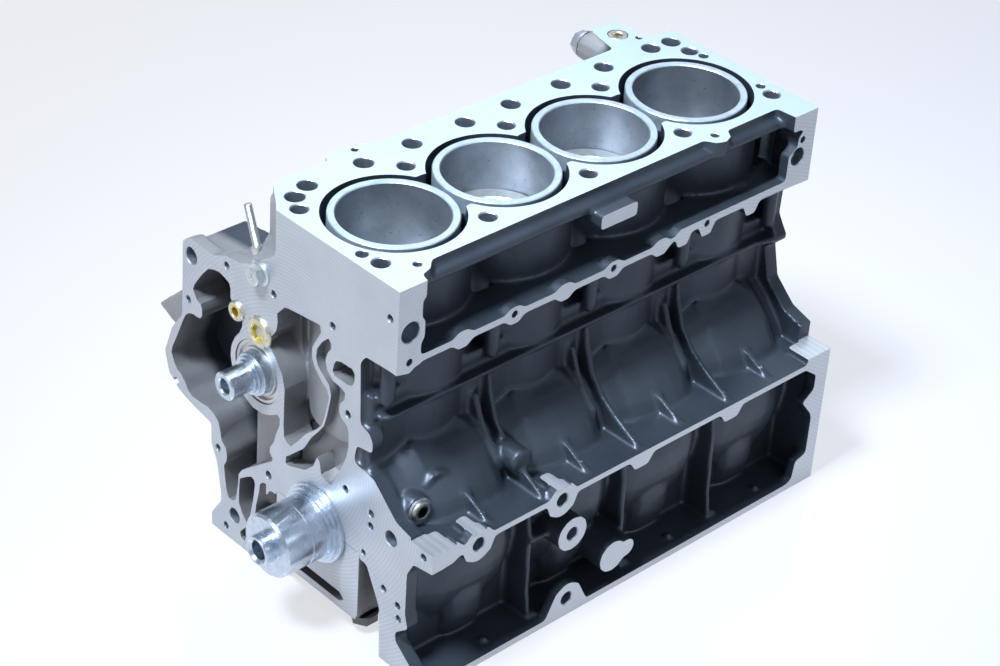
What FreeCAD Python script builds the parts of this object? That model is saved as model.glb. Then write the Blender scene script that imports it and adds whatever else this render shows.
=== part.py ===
"""Short block of a four-cylinder in-line engine: cylinder block, wet liners, pistons, crankshaft,
main bearing caps, balance shaft and the plugs, bolts and studs that stay on the bare assembly.

Frame: X runs along the crankshaft from the front face (0) to the rear, +Y to the balance shaft side,
+Z up.  The origin is the crankshaft axis where it leaves the front face.  Millimetres."""
import FreeCAD, Part
import math
import os
import re
from FreeCAD import Placement, Rotation, Vector

# ---------------------------------------------------------------- driving dimensions
SIZES = {
    # cylinder row
    "bore_pitch": 100, "bore_dia": 84, "front_margin": 14, "end_margin": 14, "deck_height": 247,
    "liner_dia": 96, "liner_length": 140, "liner_fit": 0.02, "jacket_gap": 5, "jacket_depth": 110,
    "cylinder_wall": 4, "web_slot_width": 9, "web_slot_reach": 28,
    # crank train
    "stroke": 94, "rod_length": 150, "crank_angle": 74,
    "journal_dia": 62, "crankpin_dia": 50, "main_width": 26, "web_thickness": 21, "web_gap": 1,
    "web_radius": 38, "counterweight_radius": 70, "counterweight_half_angle": 48,
    "running_gap": 0.05,
    "nose_dia": 52, "nose_length": 49, "nose_collar_dia": 65,
    "nose_collar": 4, "end_float": 0.2, "nose_tip_dia": 24.6, "nose_tip_length": 9,
    "nose_hole_dia": 16, "nose_hole_depth": 22,
    "tail_dia": 80, "tail_length": 10,
    # pistons
    "piston_gap": 0.1, "piston_height": 68, "skirt_width": 56,
    # bearing caps
    "cap_half_width": 49, "cap_depth": 66, "cap_bolt_spread": 41, "cap_bolt_dia": 12,
    "cap_bolt_head": 20, "cap_bolt_head_height": 9, "cap_gap": 0.1,
    "cap_slot_depth": 10,
    # crankcase
    "bay_top": 84, "case_radius": 97, "bulge_radius": 105, "bulge_width": 52, "pan_opening": 78,
    "pan_rail": 83, "pan_rail_thickness": 6, "skirt": 128,
    "shelf_top": 41.5, "shelf_thickness": 5, "corner_top": 46.5, "corner_bottom": 31,
    "front_plate": 12, "rear_plate": 12,
    "left_skirt": 130, "skirt_wall": 12, "lower_wall_reach": 52,
    # upper right side
    "flange_face": 80.8, "flange_depth": 9, "flange_height": 68.5, "strip_drop": 66.5,
    "strip_height": 5.5, "strip_rise": 4.5, "barrel_radius": 58, "barrel_foot": 56,
    "deck_thickness": 14, "deck_right": 62.7,
    "deck_left": 83.6, "long_rib": 124,
    "rib_thickness": 5,
    # bolts and passages in the deck
    "head_bolt_y": 44.5, "head_bolt_hole": 13, "head_bolt_depth": 60,
    "passage_dia": 15, "passage_y": 66.5, "passage_depth": 60,
    # front case
    "case_depth": 58, "case_floor": 44, "shaft_y": 73.8, "shaft_z": 95.6,
    "shaft_seat_dia": 52, "shaft_ring_width": 11, "shaft_dia": 34, "shaft_tunnel_radius": 30,
    "shaft_length": 330, "shaft_web_dia": 22, "shaft_collar": 6, "shaft_nose_dia": 23,
    "shaft_nose_length": 31, "shaft_hole_dia": 12, "shaft_hole_depth": 14, "weight_radius": 24,
    "weight_length": 90,
    # small hardware
    "big_plug_dia": 27, "small_plug_dia": 17, "deck_plug_dia": 18, "gallery_plug_dia": 18,
    "plug_head": 3, "plug_body": 10, "plug_sink": 0.3, "washer_height": 2, "gallery_face": 87,
    "pocket_plug_dia": 18,
    "hex_bolt_across": 14, "hex_bolt_dia": 8, "stud_dia": 6.4, "stud_length": 38,
    "side_plug_across": 17, "side_plug_face": 118.5, "pad_boss_length": 36, "side_bolt_hole": 11,
    "cap_bolt_reach": 40,
}
CYLINDERS = 4
BEARINGS = CYLINDERS + 1

document = FreeCAD.newDocument("short_block")
sheet = document.addObject("Spreadsheet::Sheet", "sizes")
for row, (alias, amount) in enumerate(SIZES.items(), start=1):
    sheet.set(f"A{row}", alias)
    sheet.set(f"B{row}", str(amount))
    sheet.setAlias(f"B{row}", alias)
document.recompute()


def size(alias):
    """The number that the sheet holds under an alias."""
    return float(sheet.get(alias))


def cells(formula):
    """A formula in plain aliases, written the way an expression names the sheet's cells."""
    def name(word):
        return "sizes." + word.group() if word.group() in SIZES else word.group()
    return re.sub(r"[a-z_]+", name, str(formula))


# ---------------------------------------------------------------- building blocks
TURNS = {
    "X": Rotation(Vector(0, 1, 0), 90),
    "Y": Rotation(Vector(1, 0, 0), -90),
    "Z": Rotation(),
    "-Z": Rotation(Vector(1, 0, 0), 180),
}
EXTRUDE = {"X": Vector(1, 0, 0), "Y": Vector(0, 1, 0), "Z": Vector(0, 0, 1)}


def bind(thing, **formulas):
    for prop, formula in formulas.items():
        thing.setExpression(prop, cells(formula))


def place(thing, corner, turn=None):
    """Put a primitive's base point at three formulas, turned as asked."""
    thing.Placement = Placement(Vector(), turn or Rotation())
    for letter, formula in zip("xyz", corner):
        thing.setExpression("Placement.Base." + letter, cells(formula))
    return thing


def cylinder(name, radius, length, base, axis="Z"):
    rod = document.addObject("Part::Cylinder", name)
    bind(rod, Radius=radius, Height=length)
    turn = TURNS[axis] if isinstance(axis, str) else axis
    return place(rod, base, turn)


def box(name, sides, base):
    block = document.addObject("Part::Box", name)
    bind(block, Length=sides[0], Width=sides[1], Height=sides[2])
    return place(block, base)


def polygon(name, sides, radius, length, base, axis="Z"):
    rod = document.addObject("Part::Prism", name)
    rod.Polygon = sides
    bind(rod, Circumradius=radius, Height=length)
    turn = TURNS[axis] if isinstance(axis, str) else axis
    return place(rod, base, turn)


def hexagon(name, across, length, base, axis="Z"):
    return polygon(name, 6, f"({across}) / sqrt(3)", length, base, axis)


def rounded(points):
    """A closed wire through (a, b) points, or (a, b, radius) where the corner is rounded."""
    corners = [(Vector(p[0], p[1], 0), p[2] if len(p) > 2 else 0) for p in points]
    spots = []
    for i, (here, radius) in enumerate(corners):
        before = corners[i - 1][0]
        after = corners[(i + 1) % len(corners)][0]
        if not radius:
            spots.append((here, here, None))
            continue
        back = (before - here).normalize()
        ahead = (after - here).normalize()
        half = back.getAngle(ahead) / 2
        reach = min(radius / math.tan(half), 0.49 * (before - here).Length, 0.49 * (after - here).Length)
        trimmed = reach * math.tan(half)
        centre = here + (back + ahead).normalize() * (trimmed / math.sin(half))
        middle = centre + (here - centre).normalize() * trimmed
        spots.append((here + back * reach, here + ahead * reach, middle))
    edges = []
    for i, (start, end, middle) in enumerate(spots):
        if middle is not None:
            edges.append(Part.Arc(start, middle, end).toShape())
        following = spots[(i + 1) % len(spots)][0]
        if (following - end).Length > 1e-6:
            edges.append(Part.LineSegment(end, following).toShape())
    return Part.Wire(edges)


def prism(name, points, axis, start, length):
    """A profile drawn in the two directions that follow each other round the axis, pushed along it:
    (y, z) for X, (x, z) for Y, (x, y) for Z."""
    wire = rounded(points)
    outline = document.addObject("Part::Feature", name + "_outline")
    if axis == "X":
        turn = Rotation(Vector(0, 1, 0), Vector(0, 0, 1), Vector(1, 0, 0), "XYZ")
        base = (start, 0, 0)
    elif axis == "Y":
        turn = Rotation(Vector(1, 0, 0), Vector(0, 0, 1), Vector(0, -1, 0), "XYZ")
        base = (0, start, 0)
    else:
        turn = Rotation()
        base = (0, 0, start)
    outline.Shape = Part.Face(wire)
    place(outline, base, turn)
    pushed = document.addObject("Part::Extrusion", name)
    pushed.Base = outline
    pushed.DirMode = "Custom"
    pushed.Dir = EXTRUDE[axis]
    pushed.Solid = True
    bind(pushed, LengthFwd=length)
    return pushed


def fuse(name, shapes, refine=False):
    joined = document.addObject("Part::MultiFuse", name)
    joined.Shapes = shapes
    joined.Refine = refine
    return joined


def cut(name, base, tools, refine=False):
    carved = document.addObject("Part::Cut", name)
    carved.Base = base
    carved.Tool = tools[0] if len(tools) == 1 else fuse(name + "_tools", tools)
    carved.Refine = refine
    return carved


SUBPARTS = []


def subpart(node, shape):
    shape.Label = node
    SUBPARTS.append(shape)
    return shape


# ---------------------------------------------------------------- places that several pieces share
def bore_x(i):
    return f"(front_margin + {i + 0.5} * bore_pitch)"


def bearing_x(i):
    return f"(front_margin + {i} * bore_pitch)"


BLOCK_LENGTH = f"(front_margin + {CYLINDERS} * bore_pitch + end_margin)"
PITCH = size("bore_pitch")
FIRST_BOLT = size("front_margin")
LENGTH = FIRST_BOLT + CYLINDERS * PITCH + size("end_margin")
DECK = size("deck_height")
FLANGE = -size("flange_face")
SKIRT = size("skirt")
RAIL = -size("pan_rail")
FLANGE_FOOT = "(deck_height - flange_height)"
STRIP_FOOT = "(deck_height - strip_drop)"
JACKET_FLOOR = "(deck_height - jacket_depth)"
LINER_FOOT = "(deck_height - liner_length)"
# faces of round forms that repeat and that nothing turns in
SLEEVE_SIDES = 24
BARREL_SIDES = 20
BOSS_SIDES = 12
DRUM_STEPS = 9
SIDE_BOLT = 45
SIDE_BOLT_2 = 129
SIDE_BOLT_3 = 143


# ---------------------------------------------------------------- cylinder block: outer forms
def front_profile():
    """Outline of the machined front face, from the deck's right corner round by the crankcase."""
    window = -size("case_radius") - 4.5
    register = size("cap_half_width") + size("cap_gap")
    return [
        (FLANGE, DECK), (FLANGE, DECK - size("flange_height")), (-48, DECK - 71), (-43, DECK - 79),
        (-45, 116), (-55, 113), (-59, 107), (-59, 98), (-42, 95), (-39, 79), (-62, 76), (-88, 53), (-110, 48),
        (-SKIRT, size("corner_top")), (-SKIRT, size("corner_bottom")), (-108, 27), (window, 14),
        (window, -24), (-105, -36), (-92, -47), (-92, -55), (-120, RAIL + 6), (-SKIRT, RAIL + 6),
        (-SKIRT, RAIL), (-75, RAIL), (-73, -36), (-57, -5), (-register, -5), (-register, 0),
        (register, 0), (register, -5), (57, -5), (73, -36), (80, -60), (80, RAIL), (130, RAIL),
        (130, -71), (118, -53), (118, -44), (123, -17), (130, -3), (130, 16), (153, 20),
        (171, 25), (184, 35), (189, 53), (179, 80), (166, 98), (164, 167), (154, 173), (126, 172),
        (112, DECK - 68), (95, DECK - 65.5), (82, DECK - 60), (60, DECK - 44), (53, DECK - 33),
        (53, DECK),
    ]


def deck_profile():
    """Outline of the machined top face."""
    end = LENGTH
    right = -size("deck_right")
    left = size("deck_left")
    return [
        (0, FLANGE), (24, FLANGE), (27, -73), (36, -71), (45, right), (318, right), (323, -71),
        (331, -74), (339, -71), (344, right), (end - 28, right), (end - 26, FLANGE), (end, FLANGE),
        (end, 79), (end - 26, 79), (end - 26, 118), (end - 52, 118), (end - 62, left), (112, left),
        (108, 91), (102, 93), (82, 93), (76, 91), (72, left), (37, left + 1), (22, left + 1), (4, 58),
        (0, 53),
    ]


def flange_profile():
    """Machined side flange under the deck: two end blocks joined by a strip with bolt bumps."""
    low = DECK - size("strip_drop")
    top = low + size("strip_height")
    rise = size("strip_rise")
    end = LENGTH
    quarter = PITCH / 2
    under = []
    over = []
    for k in range(5):
        x = FIRST_BOLT + 48 + k * quarter
        under += [(x - 10, low), (x - 4, low - 5), (x + 4, low - 5), (x + 10, low)]
        over = [(x + 10, top), (x + 4, top + 4), (x - 4, top + 4), (x - 10, top)] + over
    for k in (4.48, 5, 6):
        x = FIRST_BOLT + 48 + k * quarter
        under += [(x - 9, low + rise), (x - 5, low - 6), (x + 5, low - 6), (x + 9, low + rise)]
    front_end = [(22, top), (18, DECK - 55), (25, DECK - 47), (25, DECK - 33), (17, DECK - 23),
                 (17, DECK - 11), (24, DECK - 4), (24, DECK)]
    rear_end = [(end, low + rise - 2), (end, DECK), (end - 22, DECK), (end - 12, DECK - 15),
                (end - 14, DECK - 25), (end - 28, DECK - 35), (end - 28, top + rise)]
    foot = [(0, DECK), (0, low - 2), (12, low - 6), (20, low)]
    step = FIRST_BOLT + 62 + 4 * quarter
    return foot + under + rear_end + [(step + 6, top + rise), (step, top)] + over + front_end


def skirt_profile():
    """Machined face of the lower flange, front corner to rear corner, open between shelf and rail."""
    top = size("shelf_top")
    low = top - size("shelf_thickness")
    corner = size("corner_top")
    end = LENGTH
    rail = RAIL + size("pan_rail_thickness")
    below = [(0, corner), (0, size("corner_bottom")), (20, 31), (29, 36)]
    above = []
    for x in (SIDE_BOLT, SIDE_BOLT_2):
        below += [(x - 16, low), (x - 12, 26), (x, 19, 15), (x + 12, 26), (x + 16, low)]
        above = [(x + 14, top), (x + 8, 49, 6), (x - 8, 49, 6), (x - 14, top)] + above
    for x in (FIRST_BOLT + 2 * PITCH, FIRST_BOLT + 3 * PITCH):
        below += [(x - 14, low), (x - 8, low - 9), (x + 6, low - 9), (x + 12, low)]
    rear = [(end - 28, low), (end - 14, 26), (end - 14, 12), (end - 26, 3), (end - 14, -12),
            (end - 7, -30), (end - 7, -52), (end - 24, -57), (end - 26, rail + 3), (end - 32, rail)]
    tab = [(SIDE_BOLT_3 + 22, rail), (SIDE_BOLT_3 + 12, -57), (SIDE_BOLT_3, -50, 12),
           (SIDE_BOLT_3 - 12, -57), (SIDE_BOLT_3 - 22, rail)]
    foot = [(0, rail), (0, RAIL), (end - 3, RAIL), (end - 3, corner), (end - 24, corner), (end - 28, top)]
    return below + rear + tab + foot + above + [(22, corner)]


def build_block_body():
    """Everything that stands out: plates, flanges, barrels, drums, shelf, rails and left side."""
    whole = BLOCK_LENGTH
    forms = [
        prism("front_plate", front_profile(), "X", "0", "front_plate"),
        prism("deck_slab", deck_profile(), "Z", "deck_height - deck_thickness", "deck_thickness"),
        prism("side_flange", flange_profile(), "Y", "0 - flange_face", "flange_depth"),
        prism("skirt_flange", skirt_profile(), "Y", "0 - skirt", "flange_depth"),
        box("front_block", ("22", "flange_face - 45", "flange_height"),
            ("0", "0 - flange_face", FLANGE_FOOT)),
        box("rear_block", ("12", "flange_face - 45", "strip_drop - 2"),
            (whole + " - 12", "0 - flange_face", STRIP_FOOT + " + 2")),
        box("recess_floor", (whole, "flange_face - 46", "strip_height"),
            ("0", "2 - flange_face", STRIP_FOOT)),
        prism("ledge", [(-70, DECK - 14), (-70, DECK - 9), (-62, DECK - 6), (-50, DECK - 6),
                        (-50, DECK - 20), (-60, DECK - 20)], "X", "20", whole + " - 40"),
        prism("long_rib", [(8, -40), (8, -58), (14, -62), (LENGTH - 30, -62), (LENGTH - 16, -67),
                           (LENGTH, -67), (LENGTH, -40)], "Z", "long_rib - rib_thickness / 2",
              "rib_thickness - 1"),
        box("shelf", (whole, "skirt - 74", "shelf_thickness"),
            ("0", "0 - skirt", "shelf_top - shelf_thickness")),
        box("right_rail", (whole, "skirt - pan_opening", "pan_rail_thickness"),
            ("0", "0 - skirt", "0 - pan_rail")),
        box("left_rail", (whole, "left_skirt - pan_opening", "pan_rail_thickness + 4"),
            ("0", "pan_opening", "0 - pan_rail")),
        box("right_skirt_wall", (whole + " - 4", "skirt_wall", "pan_rail"),
            ("2", "0 - pan_opening - skirt_wall", "0 - pan_rail")),
        box("left_skirt_wall", (whole + " - 4", "skirt_wall", "pan_rail"),
            ("2", "pan_opening", "0 - pan_rail")),
        box("lower_wall", (whole + " - 8", "2 * lower_wall_reach", "80"),
            ("4", "0 - lower_wall_reach", "60")),
        box("left_gallery", (whole, "62", "flange_height - 5.5"), ("0", "18", FLANGE_FOOT + " - 0.5")),
        cylinder("shaft_tunnel", "shaft_tunnel_radius", "shaft_length + 10", ("2", "shaft_y", "shaft_z"),
                 "X"),
        prism("left_wall", [(0, 60), (60, 0), (80, -60), (92, -60), (97, 0), (104, 60), (106, 110),
                            (84, 150), (79, DECK - 57), (0, DECK - 57)], "X", "4", whole + " - 16"),
        prism("rear_plate", [
            (FLANGE + 2, DECK - 6), (FLANGE + 2, DECK - 64), (-58, DECK - 75), (-57, 140), (-66, 126),
            (-66, 120),
            (-57, 112), (-64, 84), (-84, 66), (-110, 58), (-SKIRT, size("corner_top")), (-SKIRT, RAIL),
            (-75, RAIL), (-73, -36), (-40, -5), (-40, 40), (40, 40), (40, -5), (73, -36), (75, RAIL),
            (126, RAIL), (126, -10), (104, 60), (104, 120), (79, DECK - 57), (79, DECK - 6)],
              "X", whole + " - rear_plate", "rear_plate"),
        prism("case_shell", [(60, 0), (118, -40), (124, -10), (128, 16), (152, 20), (169, 26), (182, 36),
                             (186, 53), (177, 78), (164, 97), (162, 164), (124, 168), (110, DECK - 72),
                             (80, DECK - 62), (60, DECK - 57)], "X", "4", "case_depth - 4"),
        prism("case_bracket", [(150, 44), (196, 52), (229, 66), (204, 90), (150, 100)], "X", "24", "20"),
    ]
    forms.append(right_drum("drum", size("case_radius"), 2, LENGTH - 4))
    for i in range(CYLINDERS):
        centre = FIRST_BOLT + (i + 0.5) * PITCH
        width = size("bulge_width")
        forms.append(polygon(f"barrel_{i}", BARREL_SIDES, "barrel_radius", "deck_height - 8 - barrel_foot",
                             (bore_x(i), "0", "barrel_foot")))
        forms.append(right_drum(f"bulge_{i}", size("bulge_radius"), centre - width / 2, width))
    return fuse("block_forms", forms)


def right_drum(name, radius, start, length):
    """The part of a drum round the crankshaft that faces the right side."""
    first, last = math.radians(122), math.radians(232)
    turns = [first + (last - first) * k / DRUM_STEPS for k in range(DRUM_STEPS + 1)]
    rim = [(radius * math.cos(turn), radius * math.sin(turn)) for turn in turns]
    return prism(name, [(0, 0)] + rim, "X", start, length)


def boss(name, radius, length, base):
    return polygon(name, BOSS_SIDES, radius, length, base, "Y")


def build_block_ribs():
    """Stiffening ribs, bosses, pads and lugs of the right side."""
    ribs = []
    top = size("shelf_top")
    for i in range(CYLINDERS):
        ribs.append(prism(f"shelf_rib_{i}", [(-122, top), (-88, top + 17), (-80, top + 15), (-80, top - 2)],
                          "X", bore_x(i) + " - 4", "rib_thickness"))
    for i in range(1, BEARINGS - 1):
        start = bearing_x(i) + " - rib_thickness / 2"
        ribs.append(prism(f"bearing_rib_{i}", [(-40, 126), (-58, 124), (-60, 105), (-68, 82), (-80, 68),
                                               (-98, 56), (-122, 44), (-122, 40), (-60, 40)],
                          "X", start, "rib_thickness"))
        ribs.append(prism(f"web_rib_{i}", [(-40, 106), (-57, 104), (-65, 84), (-86, 62), (-88, 42),
                                           (-60, 40)], "X", start + " - 12", "rib_thickness"))
        ribs.append(prism(f"skirt_rib_{i}", [(-80, 38), (-108, 38), (-113, 0), (-114, -50), (-118, -78),
                                             (-80, -78)], "X", start, "rib_thickness"))
    boss_back = "pad_boss_length"
    ribs += [
        boss("blank_boss", "11", "38", (bearing_x(1), "-99", "60")),
        boss("pad_boss", "15", boss_back, (str(SIDE_BOLT_3), "0 - skirt", "-3")),
        boss("blank_pad_large", "14", boss_back, ("191", "0 - skirt", "-49")),
        boss("blank_pad_small", "8", boss_back, ("206", "0 - skirt", "-48")),
        boss("plug_boss", "gallery_plug_dia / 2 + 2", "30", ("22", "0 - gallery_face", "54")),
        boss("pocket_boss", "14", "24", ("46", "-82", "60")),
        boss("side_plug_boss", "side_plug_across * 0.72", "side_plug_face - 70",
             (SIDE_PLUG[0], "70", SIDE_PLUG[1])),
        box("front_lug", ("37", "30", "12"), ("194", "0 - flange_face", "deck_height - 24")),
        box("front_pad", ("22", "22", "corner_top - 38"), ("0", "0 - skirt", "38")),
        box("rear_pad", ("24", "22", "corner_top - 38"), (BLOCK_LENGTH + " - 27", "0 - skirt", "38")),
        box("side_bolt_pad", ("10", "22", "corner_top - 38"), (f"{SIDE_BOLT - 5}", "0 - skirt", "38")),
        box("side_bolt_pad_2", ("10", "22", "corner_top - 38"), (f"{SIDE_BOLT_2 - 5}", "0 - skirt", "38")),
    ]
    return ribs


def build_block_spaces():
    """Cylinders, jackets, crankcase bays, bearing bores and the holes of the deck."""
    spaces = []
    for i in range(CYLINDERS):
        spaces.append(polygon(f"jacket_{i}", SLEEVE_SIDES, "liner_dia / 2 + jacket_gap", "jacket_depth + 1",
                              (bore_x(i), "0", JACKET_FLOOR)))
        spaces.append(polygon(f"liner_bore_{i}", SLEEVE_SIDES, "liner_dia / 2 + liner_fit",
                              JACKET_FLOOR + " + 2 - bay_top", (bore_x(i), "0", "bay_top - 1")))
        bay_start = bearing_x(i) + " + main_width / 2"
        bay_length = "bore_pitch - main_width"
        side, crown = size("pan_opening"), size("bay_top")
        spaces.append(prism(f"bay_{i}", [(-side, -20), (-side, 24), (-51, crown), (51, crown), (side, 24),
                                         (side, -20)], "X", bay_start, bay_length))
        spaces.append(box(f"bay_mouth_{i}", (bay_length, "2 * pan_opening", "pan_rail + 30"),
                          (bay_start, "0 - pan_opening", "0 - pan_rail - 30")))
    for i in range(1, CYLINDERS):
        spaces.append(box(f"web_slot_{i}", ("web_slot_width", "web_slot_reach * 2 - 4", "jacket_depth + 1"),
                          (bearing_x(i) + " - web_slot_width / 2", "4 - web_slot_reach", JACKET_FLOOR)))
    spaces.append(cylinder("main_bore", "journal_dia / 2 + running_gap", BLOCK_LENGTH + " + 2",
                           ("-1", "0", "0"), "X"))
    width = size("cap_half_width") + size("cap_gap")
    spaces.append(prism("cap_space", [(-width, 0), (width, 0), (width, -5), (57, -5), (73, -36),
                                      (75, RAIL - 20), (-75, RAIL - 20), (-73, -36), (-57, -5),
                                      (-width, -5)], "X", "-1", BLOCK_LENGTH + " + 2"))
    spaces.append(box("underside", (BLOCK_LENGTH + " + 20", "300", "60"),
                      ("-10", "-150", "0 - pan_rail - 60")))
    for i in range(BEARINGS):
        for side in (-1, 1):
            spaces.append(hexagon(f"cap_thread_{i}_{side}", "cap_bolt_dia", "cap_bolt_reach + 2",
                                  (bearing_x(i), f"{side} * cap_bolt_spread", "-1")))
            spaces.append(cylinder(f"head_hole_{i}_{side}", "head_bolt_hole / 2", "head_bolt_depth + 1",
                                   (bearing_x(i), f"{side} * head_bolt_y", "deck_height - head_bolt_depth")))
    for k, (x, y) in enumerate(passage_places()):
        spaces.append(polygon(f"passage_{k}", 8, "passage_dia / 2", "passage_depth + 1",
                              (str(x), str(y), "deck_height - passage_depth")))
    return spaces


def passage_places():
    """Oil and water passages along the left of the deck: two close pairs, and one either side of
    each cylinder in between."""
    row = size("passage_y")
    places = [(22, row - 7), (LENGTH - 15, row - 2)]
    for i in range(CYLINDERS):
        centre = FIRST_BOLT + (i + 0.5) * PITCH
        places += [(centre - 25, row), (centre + 28, row)]
    return places


def build_front_spaces():
    """Cavities and holes that open in the front face."""
    cavities = [
        prism("case_cavity", [
            (118, 161), (141, 147), (152, 129), (145, 119), (142, 109), (158, 105), (181, 62),
            (175, 41), (163, 28), (128, 25), (116, 14), (110, -8), (115, -14), (109, -41), (102, -44),
            (95, -12), (78, 40), (84, 50), (93, 60), (106, 95), (92, 120), (92, 134), (106, 152)],
              "X", "-1", "case_floor + 1"),
        prism("centre_cavity", [
            (50, 163), (44, 171), (4, 175), (11, 155), (11, 140), (-6, 122), (-6, 98), (4, 78), (38, 49),
            (41.5, 56), (41.5, 99), (48, 125)], "X", "-1", "31"),
        prism("chain_slot", [
            (-8, 170), (0, 166), (8, 150), (8, 135), (-8, 118), (-8, 100), (14, 76), (20, 58), (-2, 44),
            (-28, 46), (-32, 66), (-24, 98), (-24, 118), (-2, 142), (-12, 160)], "X", "-1", "15"),
        prism("chain_window", [(-13, 143.5), (-35, 143.5), (-35, 154.5), (-13, 154.5)], "X", "-1", "25"),
        prism("leg_slot", [(84, -10), (92, -7), (97, -40), (84, -58), (79, -50)], "X", "-1", "27"),
    ]
    first_wall = cylinder("first_cylinder_wall", "liner_dia / 2 + jacket_gap + cylinder_wall",
                          "deck_height - bay_top", (bore_x(0), "0", "bay_top - cylinder_wall"))
    spaces = [
        cut("front_cavities", fuse("cavity_shapes", cavities), [first_wall]),
        polygon("shaft_bore", BARREL_SIDES, "shaft_seat_dia / 2 + cap_gap", "shaft_length + 2",
                ("-1", "shaft_y", "shaft_z"), "X"),
        cylinder("case_dowel_hole", "6.8", "16", ("-1", "154", "157.6"), "X"),
        cylinder("leg_dowel_hole", "6.4", "16", ("-1", "-82.6", "35"), "X"),
        cylinder("foot_hole", "6.4", "16", ("-1", "101", "-57"), "X"),
    ]
    spaces.append(polygon("tab_counterbore", BOSS_SIDES, "deck_plug_dia / 2 + plug_sink",
                          "plug_head + plug_sink + 1", (*TAB_PLUG, "deck_height - plug_sink - plug_head")))
    for name, across, mouth, axis in SOCKET_PLUGS:
        spaces.append(polygon(name + "_seat", 8, across + " / 2 - 2.5", "plug_head + plug_body", mouth, axis))
    spaces.append(hexagon("hex_bolt_seat", "hex_bolt_dia", "plug_body + 1", ("-1", *HEX_BOLT), "X"))
    return spaces


def build_side_spaces():
    """Holes and plug seats on the right side."""
    spaces = [
        cylinder("flange_hole_front", "8.2", "16", ("12", "-1 - flange_face", "deck_height - 38"), "Y"),
        cylinder("flange_hole_rear", "7.4", "16",
                 (BLOCK_LENGTH + " - 17", "-1 - flange_face", "deck_height - 38"), "Y"),
        polygon("pocket_seat", BOSS_SIDES, "pocket_plug_dia / 2", "9", ("46", "-83", "60"), "Y"),
    ]
    spaces.append(hexagon("side_plug_seat", "side_plug_across / 2", "plug_body + 1",
                          (SIDE_PLUG[0], "side_plug_face - plug_body", SIDE_PLUG[1]), "Y"))
    spaces.append(polygon("stud_spot_face", 8, "stud_dia / 2 + 3", "20", STUD, STUD_LEAN))
    for k, (x, z) in enumerate(((SIDE_BOLT, 36), (SIDE_BOLT_2, 36), (SIDE_BOLT_3, -3), (SIDE_BOLT_3, -66))):
        spaces.append(cylinder(f"skirt_hole_{k}", "side_bolt_hole / 2", "18", (str(x), "-1 - skirt", str(z)),
                               "Y"))
    return spaces


# ---------------------------------------------------------------- the other pieces
def build_liner(i):
    """A wet liner: a plain sleeve pushed into the lower bore and clamped under the head."""
    sleeve = polygon(f"liner_sleeve_{i}", SLEEVE_SIDES, "liner_dia / 2", "liner_length",
                     (bore_x(i), "0", LINER_FOOT))
    hole = cylinder(f"liner_hole_{i}", "bore_dia / 2", "liner_length + 2",
                    (bore_x(i), "0", LINER_FOOT + " - 1"))
    return cut(f"liner_{i}", sleeve, [hole])


def crown_z(i):
    """Height of a piston's crown: the crank angle puts the inner pair and the outer pair apart."""
    angle = "crank_angle" if i in (1, 2) else "(crank_angle + 180)"
    lever = f"stroke / 2 * cos({angle} * 1deg)"
    swing = f"sqrt(rod_length ^ 2 - (stroke / 2 * sin({angle} * 1deg)) ^ 2)"
    return f"(deck_height - stroke / 2 - rod_length + {lever} + {swing})"


def build_piston(i):
    """A trunk piston, hollow from below between the two bosses of its pin."""
    top = crown_z(i)
    solid = polygon(f"piston_body_{i}", SLEEVE_SIDES, "bore_dia / 2 - piston_gap", "piston_height",
                    (bore_x(i), "0", top + " - piston_height"))
    room = box(f"piston_room_{i}", ("28", "skirt_width", "piston_height - 14"),
               (bore_x(i) + " - 14", "0 - skirt_width / 2", top + " - piston_height - 1"))
    return cut(f"piston_{i}_turned", solid, [room])


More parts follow.
